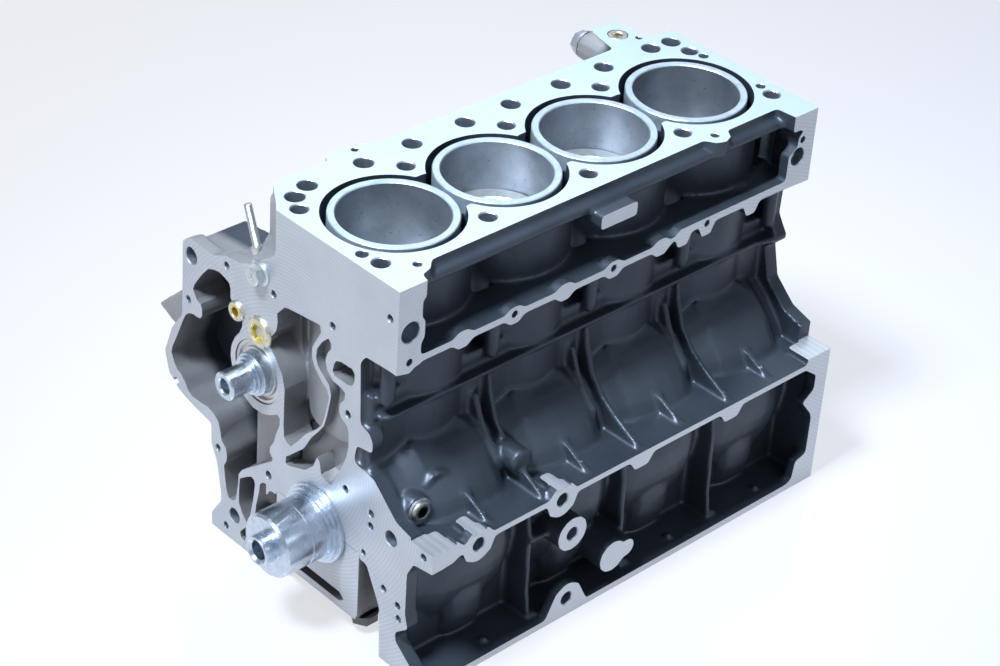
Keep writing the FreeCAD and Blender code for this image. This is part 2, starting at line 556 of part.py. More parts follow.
def build_crankshaft():
    """Five journals, four throws in one plane, counterweights on the end and middle webs."""
    parts = []
    for i in range(BEARINGS):
        before = "2 * web_gap" if i == 0 else "web_gap"
        after = "2 * web_gap" if i == BEARINGS - 1 else "web_gap"
        length = f"main_width + {before} + {after}"
        base = (bearing_x(i) + f" - main_width / 2 - {before}", "0", "0")
        if i in (0, BEARINGS - 1):
            parts.append(cylinder(f"journal_{i}", "journal_dia / 2", length, base, "X"))
        else:
            parts.append(polygon(f"journal_{i}", SLEEVE_SIDES, "journal_dia / 2", length, base, "X"))
    for i in range(CYLINDERS):
        side = "1" if i in (1, 2) else "-1"
        swing = f"{side} * stroke / 2 * sin(crank_angle * 1deg)"
        lift = f"{side} * stroke / 2 * cos(crank_angle * 1deg)"
        inner = "bore_pitch - main_width - 2 * web_gap - 2 * web_thickness"
        parts.append(polygon(f"crankpin_{i}", 12, "crankpin_dia / 2", inner,
                             (bore_x(i) + f" - ({inner}) / 2", swing, lift), "X"))
        turned = math.radians(size("crank_angle")) + (0 if i in (1, 2) else math.pi)
        for side_of_pin in (-1, 1):
            weighted = (i, side_of_pin) in ((0, -1), (1, 1), (2, -1), (3, 1))
            start = bore_x(i) + (f" - ({inner}) / 2 - web_thickness" if side_of_pin < 0
                                 else f" + ({inner}) / 2")
            parts.append(prism(f"web_{i}_{side_of_pin}", web_profile(turned, weighted), "X", start,
                               "web_thickness"))
    nose = [("0 - nose_collar", "nose_collar_dia / 2", "nose_collar - end_float"),
            ("0 - nose_length", "nose_dia / 2", "nose_length - nose_collar")]
    for k, (start, radius, length) in enumerate(nose):
        parts.append(cylinder(f"nose_{k}", radius, length, (start, "0", "0"), "X"))
    parts.append(polygon("nose_tip", BARREL_SIDES, "nose_tip_dia / 2", "nose_tip_length + 2",
                         ("0 - nose_length - nose_tip_length", "0", "0"), "X"))
    parts.append(cylinder("tail_flange", "tail_dia / 2", "tail_length",
                          (BLOCK_LENGTH + " + web_gap", "0", "0"), "X"))
    solid = fuse("crankshaft_solid", parts)
    hole = cylinder("nose_hole", "nose_hole_dia / 2", "nose_hole_depth",
                    ("0 - nose_length - nose_tip_length - 1", "0", "0"), "X")
    return cut("crank_turned", solid, [hole], refine=True)


def web_profile(turned, weighted):
    """A crank web: tapered towards the pin, and rounded out opposite it where it is weighted."""
    throw = size("stroke") / 2
    wide = size("web_radius")
    outline = [(-wide, 4), (-24, throw + 20), (-10, throw + 28), (10, throw + 28), (24, throw + 20),
               (wide, 4)]
    if weighted:
        weight = size("counterweight_radius")
        spread = math.radians(size("counterweight_half_angle"))
        outline += [(weight * math.sin(spread * k / 3), -weight * math.cos(spread * k / 3))
                    for k in (3, 2, 1, 0, -1, -2, -3)]
    else:
        outline += [(30, -26), (14, -38), (-14, -38), (-30, -26)]
    cos_t, sin_t = math.cos(turned), math.sin(turned)
    return [(a * cos_t + b * sin_t, -a * sin_t + b * cos_t) for a, b in outline]


def build_cap(i):
    """A main bearing cap.  The front one is slotted below and finished flush with the front face."""
    width = size("cap_half_width")
    start = bearing_x(i) + " - main_width / 2 + 0.5" if i else "0"
    length = "main_width - 1" if i else bearing_x(0) + " + main_width / 2 - 0.5"
    solid = prism(f"cap_solid_{i}", [(-width, 0), (width, 0), (width, -54), (36, -size("cap_depth")),
                                     (-36 if i else -width + 3, -size("cap_depth")),
                                     (-width, -54 if i else -60)],
                  "X", start, length)
    tools = [cylinder(f"cap_bore_{i}", "journal_dia / 2 + running_gap", BLOCK_LENGTH, ("-1", "0", "0"), "X")]
    for side in (-1, 1):
        tools.append(hexagon(f"cap_hole_{i}_{side}", "cap_bolt_dia", "cap_depth + 2",
                             (bearing_x(i), f"{side} * cap_bolt_spread", "-1 - cap_depth")))
    if i == 0:
        tools.append(prism("cap_slot", [(20, -59), (20, -51), (-27, -51), (-32, -55), (-27, -59)], "X", "-1",
                           "cap_slot_depth + 1"))
    return cut(f"cap_{i}", solid, tools)


def build_cap_bolts():
    """The ten hexagon bolts of the bearing caps."""
    bolts = []
    for i in range(BEARINGS):
        for side in (-1, 1):
            y = f"{side} * cap_bolt_spread"
            bolts.append(hexagon(f"bolt_shank_{i}_{side}", "cap_bolt_dia - 2 * cap_gap",
                                 "cap_depth + cap_bolt_reach", (bearing_x(i), y, "0 - cap_depth")))
            bolts.append(hexagon(f"bolt_head_{i}_{side}", "cap_bolt_head", "cap_bolt_head_height",
                                 (bearing_x(i), y, "0 - cap_depth - cap_bolt_head_height")))
    return fuse("cap_bolt_set", bolts)


def build_balance_shaft():
    """A shaft with a stepped nose, two bearing journals and a half-round weight between them."""
    y, z = "shaft_y", "shaft_z"
    parts = [
        cylinder("shaft_front_journal", "shaft_dia / 2", "shaft_collar + 20", ("0 - shaft_collar", y, z),
                 "X"),
        cylinder("shaft_nose", "shaft_nose_dia / 2", "shaft_nose_length - shaft_collar",
                 ("0 - shaft_nose_length", y, z), "X"),
        polygon("shaft_core", 12, "shaft_web_dia / 2", "shaft_length - 30", ("15", y, z), "X"),
        cylinder("shaft_rear_journal", "shaft_dia / 2", "shaft_ring_width + 4",
                 ("shaft_length - shaft_ring_width - 4", y, z), "X"),
    ]
    weight = cylinder("shaft_weight", "weight_radius", "weight_length", ("120", y, z),
                      TURNS["X"] * Rotation(Vector(0, 0, 1), -90))
    weight.Angle = 180
    solid = fuse("shaft_solid", parts + [weight])
    hole = polygon("shaft_hole", BOSS_SIDES, "shaft_hole_dia / 2", "shaft_hole_depth",
                   ("-1 - shaft_nose_length", y, z), "X")
    return cut("shaft_turned", solid, [hole])


def build_shaft_rings():
    """The two bearing rings pressed into the block round the balance shaft's journals."""
    starts = ("1", "shaft_length - shaft_ring_width - 2")
    rings = [polygon(f"ring_outer_{k}", BARREL_SIDES, "shaft_seat_dia / 2", "shaft_ring_width",
                     (start, "shaft_y", "shaft_z"), "X") for k, start in enumerate(starts)]
    bore = cylinder("ring_bore", "shaft_dia / 2 + running_gap", "shaft_length + 20",
                    ("-10", "shaft_y", "shaft_z"), "X")
    return cut("shaft_rings", fuse("ring_pair", rings), [bore])


def build_socket_plug(name, across, mouth, axis):
    """A socket plug screwed into a machined seat: flanged head, threaded end and hexagon socket."""
    head = polygon(name + "_head", BOSS_SIDES, across + " / 2", "plug_head", mouth, axis)
    end = polygon(name + "_end", 8, across + " / 2 - 2.5", "plug_head + plug_body", mouth, axis)
    socket = hexagon(name + "_socket", across + " * 0.5", "plug_head + 4", mouth, axis)
    return cut(name, fuse(name + "_solid", [head, end]), [socket])


def build_plugs():
    """The plugs of the oil ways: four with a hexagon socket and a plain one in the side pocket."""
    plugs = [build_socket_plug(*plug) for plug in SOCKET_PLUGS]
    plugs.append(polygon("pocket_body", BOSS_SIDES, "pocket_plug_dia / 2 - cap_gap", "6",
                         ("46", "-80", "60"), "Y"))
    return fuse("plugs", plugs)


def build_fasteners():
    """The flanged bolt of the front face, the leaning stud above it and the gallery plug's washer."""
    y, z = HEX_BOLT
    flange = polygon("hex_bolt_flange", BOSS_SIDES, "hex_bolt_across * 0.72", "2", ("-2", y, z), "X")
    head = hexagon("hex_bolt_head", "hex_bolt_across", "7", ("-9", y, z), "X")
    end = hexagon("hex_bolt_end", "hex_bolt_dia", "plug_body + 2", ("-2", y, z), "X")
    washer = polygon("washer", BOSS_SIDES, "gallery_plug_dia / 2 + 1", "washer_height",
                     ("22", "0 - gallery_face - washer_height", "54"), "Y")
    washer_hole = polygon("washer_hole", BOSS_SIDES, "gallery_plug_dia / 2 - 2", "washer_height + 2",
                          ("22", "0 - gallery_face - washer_height - 1", "54"), "Y")
    stud = polygon("stud", 8, "stud_dia / 2", "stud_length", STUD, STUD_LEAN)
    collar = polygon("stud_collar", 8, "stud_dia / 2 + 1.5", "5", STUD, STUD_LEAN)
    return fuse("fasteners", [flange, head, end, stud, collar, cut("washer_ring", washer, [washer_hole])])


def build_side_plug():
    """The flanged hexagon plug in the boss beside the rear tab of the deck."""
    x, z = SIDE_PLUG
    flange = polygon("side_plug_flange", BOSS_SIDES, "side_plug_across * 0.68", "3",
                     (x, "side_plug_face", z), "Y")
    head = hexagon("side_plug_head", "side_plug_across", "10", (x, "side_plug_face", z), "Y")
    end = hexagon("side_plug_end", "side_plug_across / 2", "plug_body", (x, "side_plug_face - plug_body", z),
                  "Y")
    return fuse("side_plug_solid", [flange, head, end])


# ---------------------------------------------------------------- assembly
TAB_PLUG = (BLOCK_LENGTH + " - 41", "99")
SOCKET_PLUGS = (
    ("big_plug", "big_plug_dia", ("0 - plug_head", "70", "133.7"), "X"),
    ("small_plug", "small_plug_dia", ("0 - plug_head", "97.2", "138.3"), "X"),
    ("gallery_plug", "gallery_plug_dia", ("22", "0 - gallery_face - washer_height - plug_head", "54"), "Y"),
    ("tab_plug", "deck_plug_dia", (*TAB_PLUG, "deck_height - plug_sink"), "-Z"),
)
HEX_BOLT = ("70", "(deck_height - 62)")
SIDE_PLUG = (BLOCK_LENGTH + " - 56", "(deck_height - 13)")
STUD = ("8", "83", "deck_height - 54")
STUD_LEAN = Rotation(Vector(1, 0, 0), -20)

body = fuse("block_solid", [build_block_body()] + build_block_ribs())
hollows = build_block_spaces() + build_front_spaces() + build_side_spaces()
subpart("cylinder_block", cut("block_finished", body, hollows, refine=True))
for number in range(CYLINDERS):
    subpart(f"cylinder_liner_{number + 1}", build_liner(number))
    subpart(f"piston_{number + 1}", build_piston(number))
subpart("crankshaft", build_crankshaft())
for number in range(BEARINGS):
    subpart(f"main_bearing_cap_{number + 1}", build_cap(number))
subpart("cap_bolts", build_cap_bolts())
subpart("balance_shaft", build_balance_shaft())
subpart("shaft_bearing_rings", build_shaft_rings())
subpart("oil_way_plugs", build_plugs())
subpart("zinc_fasteners", build_fasteners())
subpart("side_plug", build_side_plug())

document.recompute()
for thing in document.Objects:
    if "Invalid" in thing.State or "Error" in thing.State:
        raise RuntimeError(f"{thing.Name} failed: {thing.State}")
for piece in SUBPARTS:
    if piece.Shape.isNull() or not piece.Shape.isValid() or not piece.Shape.Solids:
        raise RuntimeError(f"{piece.Label} has no valid shape")
os.makedirs("parts", exist_ok=True)
for piece in SUBPARTS:
    piece.Shape.exportStep(f"parts/{piece.Label}.step")
    print(f"{piece.Label}: {len(piece.Shape.Solids)} solid, {piece.Shape.Volume / 1000:.1f} cm3")
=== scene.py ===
import bpy
import bmesh
import math
import numpy as np
from mathutils import Matrix, Vector


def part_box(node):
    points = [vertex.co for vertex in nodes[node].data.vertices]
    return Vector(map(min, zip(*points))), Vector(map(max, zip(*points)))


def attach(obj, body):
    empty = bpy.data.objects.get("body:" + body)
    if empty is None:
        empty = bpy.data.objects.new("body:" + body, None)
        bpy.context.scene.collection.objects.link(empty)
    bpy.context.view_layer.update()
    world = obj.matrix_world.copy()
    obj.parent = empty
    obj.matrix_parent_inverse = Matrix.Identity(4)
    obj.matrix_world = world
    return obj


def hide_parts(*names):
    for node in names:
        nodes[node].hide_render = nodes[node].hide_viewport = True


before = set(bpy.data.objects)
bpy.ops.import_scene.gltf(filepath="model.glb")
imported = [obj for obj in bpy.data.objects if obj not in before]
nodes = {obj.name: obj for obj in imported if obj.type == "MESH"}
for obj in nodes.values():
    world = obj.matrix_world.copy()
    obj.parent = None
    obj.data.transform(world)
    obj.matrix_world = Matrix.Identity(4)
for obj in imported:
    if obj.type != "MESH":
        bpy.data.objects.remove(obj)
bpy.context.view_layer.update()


# ---------------------------------------------------------------- cylinder block
# The real piece is one aluminium casting: shot-blasted and dark where it was left as cast, and milled
# bright on the deck, the front face, the side flange and the lower skirt.  Everything bolts to it.
DECK = 0.247                # level of each milled plane along its own axis
FRONT = 0.0
REAR = 0.428
FLANGE = -0.0808
SKIRT = -0.128
RAIL = -0.083
PAD = 0.0465
FIRST = 0.064               # first cylinder's axis, and the step to the next
PITCH = 0.1
CYLINDERS = 4
SHAFT = (0.0738, 0.0956)    # balance shaft's axis (y, z)
BARREL = 0.058              # radius of the cast wall round a cylinder
OVERSIZE = 0.004            # stock that milling takes off
CAST_VOXEL = 0.0016
CAST_SMOOTHING = 6
KEPT_FACES = 0.2            # share of the skin's triangles that is kept
ON_PLANE = 1e-5             # how near to a plane a corner or a face still counts as on it
HAIR = 2e-4
AHEAD = -0.01               # where the cutters of the front pockets start
OVERRUN = 0.003             # how far outside its face a drill starts


def feed(tree, slot, value):
    """Link an input to a socket, or give it a value."""
    if isinstance(value, Socket):
        tree.links.new(value.out, slot)
    else:
        slot.default_value = value


class Socket:
    """A shader value that can be added, multiplied and compared like a number."""

    def __init__(self, tree, out):
        self.tree = tree
        self.out = out

    def math(self, operation, other=0.0):
        node = self.tree.nodes.new("ShaderNodeMath")
        node.operation = operation
        for slot, value in zip(node.inputs, (self, other)):
            feed(self.tree, slot, value)
        return Socket(self.tree, node.outputs[0])

    def __add__(self, other):
        return self.math("ADD", other)

    def __mul__(self, other):
        return self.math("MULTIPLY", other)

    def __sub__(self, other):
        return self.math("SUBTRACT", other)

    def __rsub__(self, other):
        return (self * -1.0).math("ADD", other)

    def __pow__(self, other):
        return self.math("POWER", other)

    __radd__ = __add__
    __rmul__ = __mul__

    def between(self, low, high):
        """0 below low, 1 above high, and an even rise between."""
        return (self - low).math("DIVIDE", high - low).clamp()

    def clamp(self):
        return self.math("MAXIMUM", 0.0).math("MINIMUM", 1.0)


class Finish:
    """A material under construction: its principled shader and a method that adds any other node."""

    def __init__(self, name):
        self.material = bpy.data.materials.new(name)
        self.material.use_nodes = True
        self.tree = self.material.node_tree
        self.shader = self.tree.nodes["Principled BSDF"]
        self.position = self.node("ShaderNodeTexCoord", out="Object")

    def node(self, kind, out=0, settings=(), **inputs):
        """Add a node and return one of its outputs; an input goes by its name, or as _0 by number."""
        made = self.tree.nodes.new(kind)
        for key, value in dict(settings).items():
            setattr(made, key, value)
        for key, value in inputs.items():
            feed(self.tree, made.inputs[int(key[1:]) if key[0] == "_" else key], value)
        return Socket(self.tree, made.outputs[out])

    def axes(self):
        """Object coordinates as three values."""
        return [self.node("ShaderNodeSeparateXYZ", out=k, _0=self.position) for k in range(3)]

    def noise(self, scale, detail, roughness):
        return self.node("ShaderNodeTexNoise", _0=self.position, Scale=scale, Detail=detail,
                         Roughness=roughness)

    def mix(self, value, low, high):
        """A blend of two colours, each a socket or three numbers."""
        low, high = (c if isinstance(c, Socket) else (*c, 1) for c in (low, high))
        return self.node("ShaderNodeMix", out=2, settings={"data_type": "RGBA"},
                         _0=value, _6=low, _7=high)

    def bump(self, height, strength, distance):
        return self.node("ShaderNodeBump", Height=height, Strength=strength, Distance=distance)

    def set(self, **inputs):
        """Give the shader its inputs and return the finished material."""
        for key, value in inputs.items():
            feed(self.tree, self.shader.inputs[key.replace("_", " ")], value)
        return self.material


def cast_finish():
    """Blasted casting: fine grain, a slow change of tone, and painted light, paler in the front
    cavities and on the rear tab.
    """
    made = Finish("cast_aluminium")
    x, y, z = made.axes()
    grain = made.noise(scale=1100, detail=3, roughness=0.6)
    patches = made.noise(scale=18, detail=3, roughness=0.5)
    tone = (grain * 0.4 + patches * 0.6).between(0.3, 0.7)
    # Painted light: the cast walls in the front cavities and round the rear tab get a paler grey, as
    # if lit.
    painted_light_front = (1.0 - x.between(0.026, 0.034)) * y.between(-0.045, -0.036)
    painted_light_tab = y.between(0.088, 0.096) * z.between(0.19, 0.20)
    dark = made.mix(tone, (0.022, 0.030, 0.043), (0.055, 0.068, 0.088))
    pale = made.mix(tone, (0.17, 0.175, 0.19), (0.27, 0.27, 0.275))
    return made.set(Base_Color=made.mix((painted_light_front + painted_light_tab).clamp(), dark, pale), Metallic=0.55,
                    Roughness=(grain * 0.2 + 0.30).clamp(), Normal=made.bump(grain, 0.3, 0.0004))


def milled_finish(name, dark, light, rough, axes, centre, step):
    """A face cut by a large fly cutter: bright, with faint arcs about a centre in the plane of two
    axes, a step apart."""
    made = Finish(name)
    level = made.axes()
    offsets = [level[axis] - middle for axis, middle in zip(axes, centre)]
    reach = (offsets[0] ** 2.0 + offsets[1] ** 2.0).math("SQRT")
    sweep, fine = ((reach * (2 * math.pi / width)).math("SINE") * 0.5 + 0.5
                   for width in (step, step * 0.23))
    broken = made.noise(scale=45, detail=4, roughness=0.6)
    wear = ((sweep * 0.65 + fine * 0.35) * (broken * 1.2)).clamp()
    cloud = made.noise(scale=12, detail=3, roughness=0.5)
    tone = (wear * 0.55 + cloud * 0.45).between(0.1, 0.8)
    return made.set(Base_Color=made.mix(tone, dark, light), Metallic=0.7,
                    Roughness=(wear * 0.15 + rough).clamp(), Normal=made.bump(wear, 0.2, 0.0002))


def metal_finish(name, colour, rough, metallic=0.95, turning=0, spacing=0.0007):
    """Plain metal with a little wear and a lathe's fine lines, which step along the turning axis."""
    made = Finish(name)
    worn = made.noise(scale=160, detail=3, roughness=0.6)
    lines = (made.axes()[turning] * (2 * math.pi / spacing)).math("SINE") * 0.5 + 0.5
    height = lines * 0.95 + worn * 0.05
    dull = tuple(c * 0.8 for c in colour)
    return made.set(Base_Color=made.mix(worn.between(0.3, 0.7), dull, colour), Metallic=metallic,
                    Roughness=(worn * 0.12 + rough).clamp(), Normal=made.bump(height, 0.12, 0.0001))


def linked(name, content):
    """A new object in the scene around a mesh, a camera or a light."""
    made = bpy.data.objects.new(name, content)
    bpy.context.scene.collection.objects.link(made)
    return made


def copy_of(node, name):
    """A merged copy of a CAD node's mesh as a new object, without the normals it came with."""
    made = linked(name, nodes[node].data.copy())
    made.data.materials.clear()
    edit = bmesh.new()
    edit.from_mesh(made.data)
    bmesh.ops.remove_doubles(edit, verts=edit.verts, dist=1e-6)
    bmesh.ops.recalc_face_normals(edit, faces=edit.faces)
    edit.to_mesh(made.data)
    edit.free()
    if "custom_normal" in made.data.attributes:
        made.data.attributes.remove(made.data.attributes["custom_normal"])
    return made


def apply_modifiers(piece):
    """Replace a piece's mesh by what its modifiers make of it."""
    graph = bpy.context.evaluated_depsgraph_get()
    result = bpy.data.meshes.new_from_object(piece.evaluated_get(graph))
    piece.modifiers.clear()
    piece.data = result
    return piece


def solid(name, rings, closed=False):
    """A closed mesh between rings of points, each with the same number of points.  A closed one
    joins its last ring to its first, as a tube does, and has no end faces."""
    count = len(rings[0])
    faces = []
    for k in range(len(rings) if closed else len(rings) - 1):
        low, high = k * count, (k + 1) % len(rings) * count
        for i in range(count):
            j = (i + 1) % count
            faces.append((low + i, low + j, high + j, high + i))
    if not closed:
        faces.append(tuple(reversed(range(count))))
        faces.append(tuple(range((len(rings) - 1) * count, len(rings) * count)))
    mesh = bpy.data.meshes.new(name)
    mesh.from_pydata([tuple(p) for ring in rings for p in ring], [], faces)
    edit = bmesh.new()
    edit.from_mesh(mesh)
    bmesh.ops.recalc_face_normals(edit, faces=edit.faces)
    edit.to_mesh(mesh)
    edit.free()
    return linked(name, mesh)


def slab(name, low, high):
    """A box between two corners."""
    ring = [(low[0], low[1]), (high[0], low[1]), (high[0], high[1]), (low[0], high[1])]
    return solid(name, [[(x, y, z) for x, y in ring] for z in (low[2], high[2])])


def turned(name, axis, centre, profile, sides=64, closed=False):
    """A solid of revolution about a line along an axis.  The profile is (level, radius) points, or
    (level, half the width across flats, corners) where the section is a polygon."""
    others = [k for k in range(3) if k != axis]
    rings = []
    for level, radius, *corners in profile:
        ring = []
        for k in range(sides):
            angle = 2 * math.pi * k / sides
            reach = radius
            if corners:
                part = math.pi / corners[0]
                reach = radius / math.cos(angle % (2 * part) - part)
            spot = [0, 0, 0]
            spot[axis] = level
            spot[others[0]] = centre[0] + reach * math.cos(angle)
            spot[others[1]] = centre[1] + reach * math.sin(angle)
            ring.append(spot)
        rings.append(ring)
    return solid(name, rings, closed)


def drill(name, axis, centre, radius, mouth, depth, chamfer):
    """A round cutter that enters at a face's level; depth is signed, into the piece."""
    inward = math.copysign(1, depth)
    return turned(name, axis, centre, [
        (mouth - inward * OVERRUN, radius + chamfer), (mouth, radius + chamfer),
        (mouth + inward * chamfer, radius), (mouth + depth, radius)], 36)


def joined(name, parts):
    """Several objects as one, with their faces in the same order."""
    bpy.ops.object.select_all(action="DESELECT")
    for part in parts:
        part.select_set(True)
    bpy.context.view_layer.objects.active = parts[0]
    bpy.ops.object.join()
    parts[0].name = name
    return parts[0]


def carve(piece, cutters):
    """Take each cutter away from the piece in turn."""
    for cutter in cutters:
        change = piece.modifiers.new("carve", "BOOLEAN")
        change.operation = "DIFFERENCE"
        change.solver = "MANIFOLD"
        change.object = cutter
        apply_modifiers(piece)
        bpy.data.objects.remove(cutter)
    return piece


def shade(piece, angle=32):
    """Smooth faces with crisp edges where they turn by more than the angle."""
    piece.data.shade_smooth()
    piece.data.set_sharp_from_angle(angle=math.radians(angle))
    return piece


def hand_over(piece, body, slot, node, *materials):
    """Give a finished piece its materials and body in place of a CAD node; the slot is not used."""
    piece.data.materials.clear()
    for material in materials:
        piece.data.materials.append(material)
    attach(piece, body)
    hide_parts(node)
    return piece


def paint(piece, numbers):
    """Give each face the material of that number."""
    piece.data.polygons.foreach_set("material_index", np.asarray(numbers, dtype=np.int32))


def mend(piece):
    """Cut out and close again the odd spot where thinning has left more than two faces on an edge."""
    edit = bmesh.new()
    edit.from_mesh(piece.data)
    for _ in range(6):
        wrong = {corner for edge in edit.edges if not edge.is_manifold for corner in edge.verts}
        wrong |= {corner for corner in edit.verts if not corner.is_manifold}
        if not wrong:
            break
        bmesh.ops.delete(edit, geom=list(wrong), context="VERTS")
        bmesh.ops.holes_fill(edit, edges=[edge for edge in edit.edges if edge.is_boundary], sides=0)
    bmesh.ops.triangulate(edit, faces=edit.faces)
    edit.to_mesh(piece.data)
    edit.free()


def face_data(mesh, kind):
    """The centre or the normal of every face as rows of three."""
    values = np.empty(len(mesh.polygons) * 3)
    mesh.polygons.foreach_get(kind, values)
    return values.reshape(-1, 3)


LOBE_ROOT = -0.081      # face of the wall that a lobe swells from, and how deep it sits in that wall
LOBE_BACK = -0.079
LOBE_LINE = ((0.030, -0.078), (0.012, -0.0935), (-0.004, -0.0995), (-0.022, -0.1035),
             (-0.040, -0.1045), (-0.056, -0.1030), (-0.070, -0.0985), (-0.080, -0.0900))
LOBE_SWELL = ((-21, 0.2), (-19, 0.62), (-14, 0.86), (-7, 0.97), (1, 1.0), (9, 0.97), (15, 0.86),
              (19, 0.62), (21, 0.2))
CASE_RADIUS = 97.0      # crankcase wall over a throw, in millimetres, and the radii along its swell
CASE_ROOT = 0.0963
CASE_SWELL = ((-46, 97.2), (-40, 99), (-34, 102.5), (-28, 105.8), (-18, 107.5), (0, 109),
              (16, 109), (28, 107.5), (36, 104), (41, 97.2))
CASE_TURNS = [math.radians(122 + step * 7) for step in range(15)]


def lobe(i):
    """The swollen wall of the crankcase that hangs below the shelf under a cylinder."""
    centre = FIRST + i * PITCH
    rings = []
    for offset, share in LOBE_SWELL:
        x = centre + offset / 1000
        front = [(x, LOBE_ROOT + (y - LOBE_ROOT) * share, z) for z, y in LOBE_LINE]
        rings.append(front + [(x, LOBE_BACK, LOBE_LINE[-1][0]), (x, LOBE_BACK, LOBE_LINE[0][0])])
    return solid(f"lobe_{i}", rings)


def swelling(i):
    """The crankcase wall over a crank throw: it swells from one bearing wall to the next."""
    rings = []
    for offset, radius in CASE_SWELL:
        spots = []
        for step, turn in enumerate(CASE_TURNS, start=2):
            rise = math.sin(math.pi * step / (len(CASE_TURNS) + 3)) ** 0.5
            reach = (CASE_RADIUS + (radius - CASE_RADIUS) * rise) / 1000
            spots.append((reach * math.cos(turn), reach * math.sin(turn)))
        spots += [(CASE_ROOT * math.cos(turn), CASE_ROOT * math.sin(turn))
                  for turn in reversed(CASE_TURNS)]
        rings.append([(FIRST + (i * 100 + offset) / 1000, y, z) for y, z in spots])
    return solid(f"swelling_{i}", rings)


COLUMN = ((0.132, 0.001), (0.133, 0.0035), (0.136, 0.0052), (0.142, 0.0058), (0.186, 0.0066))
COLUMN_Y = -0.0570
NUB = ((-0.080, 0.0034), (-0.0742, 0.0030), (-0.0735, 0.0022))
NUB_Y = -0.115
NUB_PLACES = (0.069, 0.119, 0.219, 0.269, 0.319, 0.371)


def cast_details():
    """What the casting has beside its main forms: barrels, lobes, bolt columns, nubs and webs."""
    details = [slab("stalk_web", (0.112, -0.116, -0.0055), (0.134, -0.095, -0.0015)),
               turned("end_boss", 1, (0.4165, 0.223),
                      [(FLANGE - OVERSIZE, 0.0075), (-0.060, 0.0085)], 24)]
    foot, top, inside = 0.086, DECK - 0.009, BARREL - 0.0035
    for i in range(CYLINDERS):
        details.append(turned(f"barrel_{i}", 2, (FIRST + i * PITCH, 0), [
            (foot, BARREL), (top, BARREL), (top, inside), (foot, inside)], closed=True))
        details += [lobe(i), swelling(i)]
    for i in range(CYLINDERS + 1):
        details.append(turned(f"column_{i}", 2, (FIRST + (i - 0.5) * PITCH, COLUMN_Y), COLUMN, 20))
    details += [turned("nub", 2, (x, NUB_Y), NUB, 16) for x in NUB_PLACES]
    return details


# Outlines of the front face's pockets and of the stock they are cut from: (y, z) in millimetres.
CASE = (
    (133, 156.6), (126.9, 159.3), (119.6, 160.8), (112.3, 159.2), (107.5, 157.3), (105.7, 152.9),
    (105.7, 144.9), (101.5, 140.9), (94.3, 139.8), (91.3, 134.8), (91.8, 126.4), (94.8, 119.9),
    (100.3, 112.9), (104.5, 103.3), (105.8, 94.4), (103.9, 85.3), (99, 75.2), (90.4, 65.6),
    (78.2, 60.5), (67.3, 61.1), (57.7, 64.8), (49.4, 70.4), (46, 68.2), (46.3, 61.6), (50.3, 51.9),
    (52.6, 43.1), (57.3, 35.6), (57.8, 30.6), (54.4, 27), (54.7, 23.5), (66.8, 13.9), (81.5, 1.8),
    (91.4, -6.5), (95.5, -12.9), (96.4, -24.1), (98.9, -39.4), (102.7, -43.2), (107.7, -43.8),
    (110.9, -37.8), (112.8, -27.1), (114.1, -15.2), (110.9, -9.4), (110.2, -3.2), (112.1, 2.5),
    (117.1, 7.2), (119, 15.8), (120.9, 22.3), (126.5, 26.7), (134.1, 29.1), (144.3, 28.1),
    (154.5, 28), (159.7, 30.9), (163.4, 36.4), (168.5, 41.2), (173.6, 43.1), (177.4, 48.6),
    (180.5, 55.4), (179.1, 61.9), (174.3, 72), (169, 84.2), (165, 93.7), (161.1, 100.9),
    (157.2, 104.3), (152.2, 106), (147.2, 106), (143.4, 106.6), (140.9, 110.2), (140.8, 115.7),
    (142.6, 120.2), (147, 121.5), (149.4, 124.8), (151.9, 128.9), (150.5, 133.2), (144.2, 142.8),
    (139.2, 149.4))
CENTRE = (
    (50.8, 160.2), (42.3, 169.9), (38.3, 171.2), (2.1, 176.2), (0.8, 170), (6.2, 160.2),
    (10.5, 151.8), (10.2, 144), (6.6, 136.4), (-0.4, 129.7), (-7.3, 124.8), (-9.8, 119),
    (-6.8, 104.9), (-2.7, 90.8), (3.9, 82.9), (15.3, 72.2), (24.3, 60.5), (32.4, 50.7),
    (37.2, 51.2), (40.8, 54.6), (41.6, 65.3), (41.3, 83.8), (41, 97.6), (44.1, 109.4),
    (51.4, 119.7), (58.5, 126.1), (62.1, 129.5), (59.2, 134.2), (55.2, 139), (51.2, 145.6),
    (50.1, 153.2))
SLOT = (
    (-7, 169.5), (-10.4, 167.5), (-11.1, 162.7), (-6.9, 156.9), (-4.8, 149.7), (-6.8, 142),
    (-13.7, 136.3), (-22.7, 135.2), (-27.2, 133.3), (-26.9, 127), (-21.6, 120.4), (-21.3, 114),
    (-23.7, 109.2), (-30.5, 106), (-32.5, 100), (-32.9, 88.6), (-30.5, 77.2), (-24.3, 62.6),
    (-18.9, 52), (-14.1, 42.6), (-8.8, 43.2), (-2.9, 46.1), (-0.9, 56), (2.1, 58.8), (6.4, 48),
    (15.6, 38.8), (25, 35.1), (34.4, 31.3), (38.6, 31.6), (38.1, 38), (32.3, 43.3), (25.3, 50.2),
    (18.4, 56.6), (13.9, 63.9), (9.4, 72), (1.6, 82), (-5, 91.3), (-8.1, 102.9), (-11, 116.2),
    (-11.9, 122.9), (-9.4, 130.3), (-2.5, 135.3), (3.3, 140), (5.8, 146.5), (4.9, 154),
    (-0.5, 162.9))
WINDOW = (
    (-16.4, 155.2), (-21.9, 157.3), (-34, 158), (-36.9, 155.2), (-37.2, 148.5), (-34.6, 143.6),
    (-30.2, 142), (-15.8, 141.8), (-12.9, 144.5), (-14.3, 151.4))
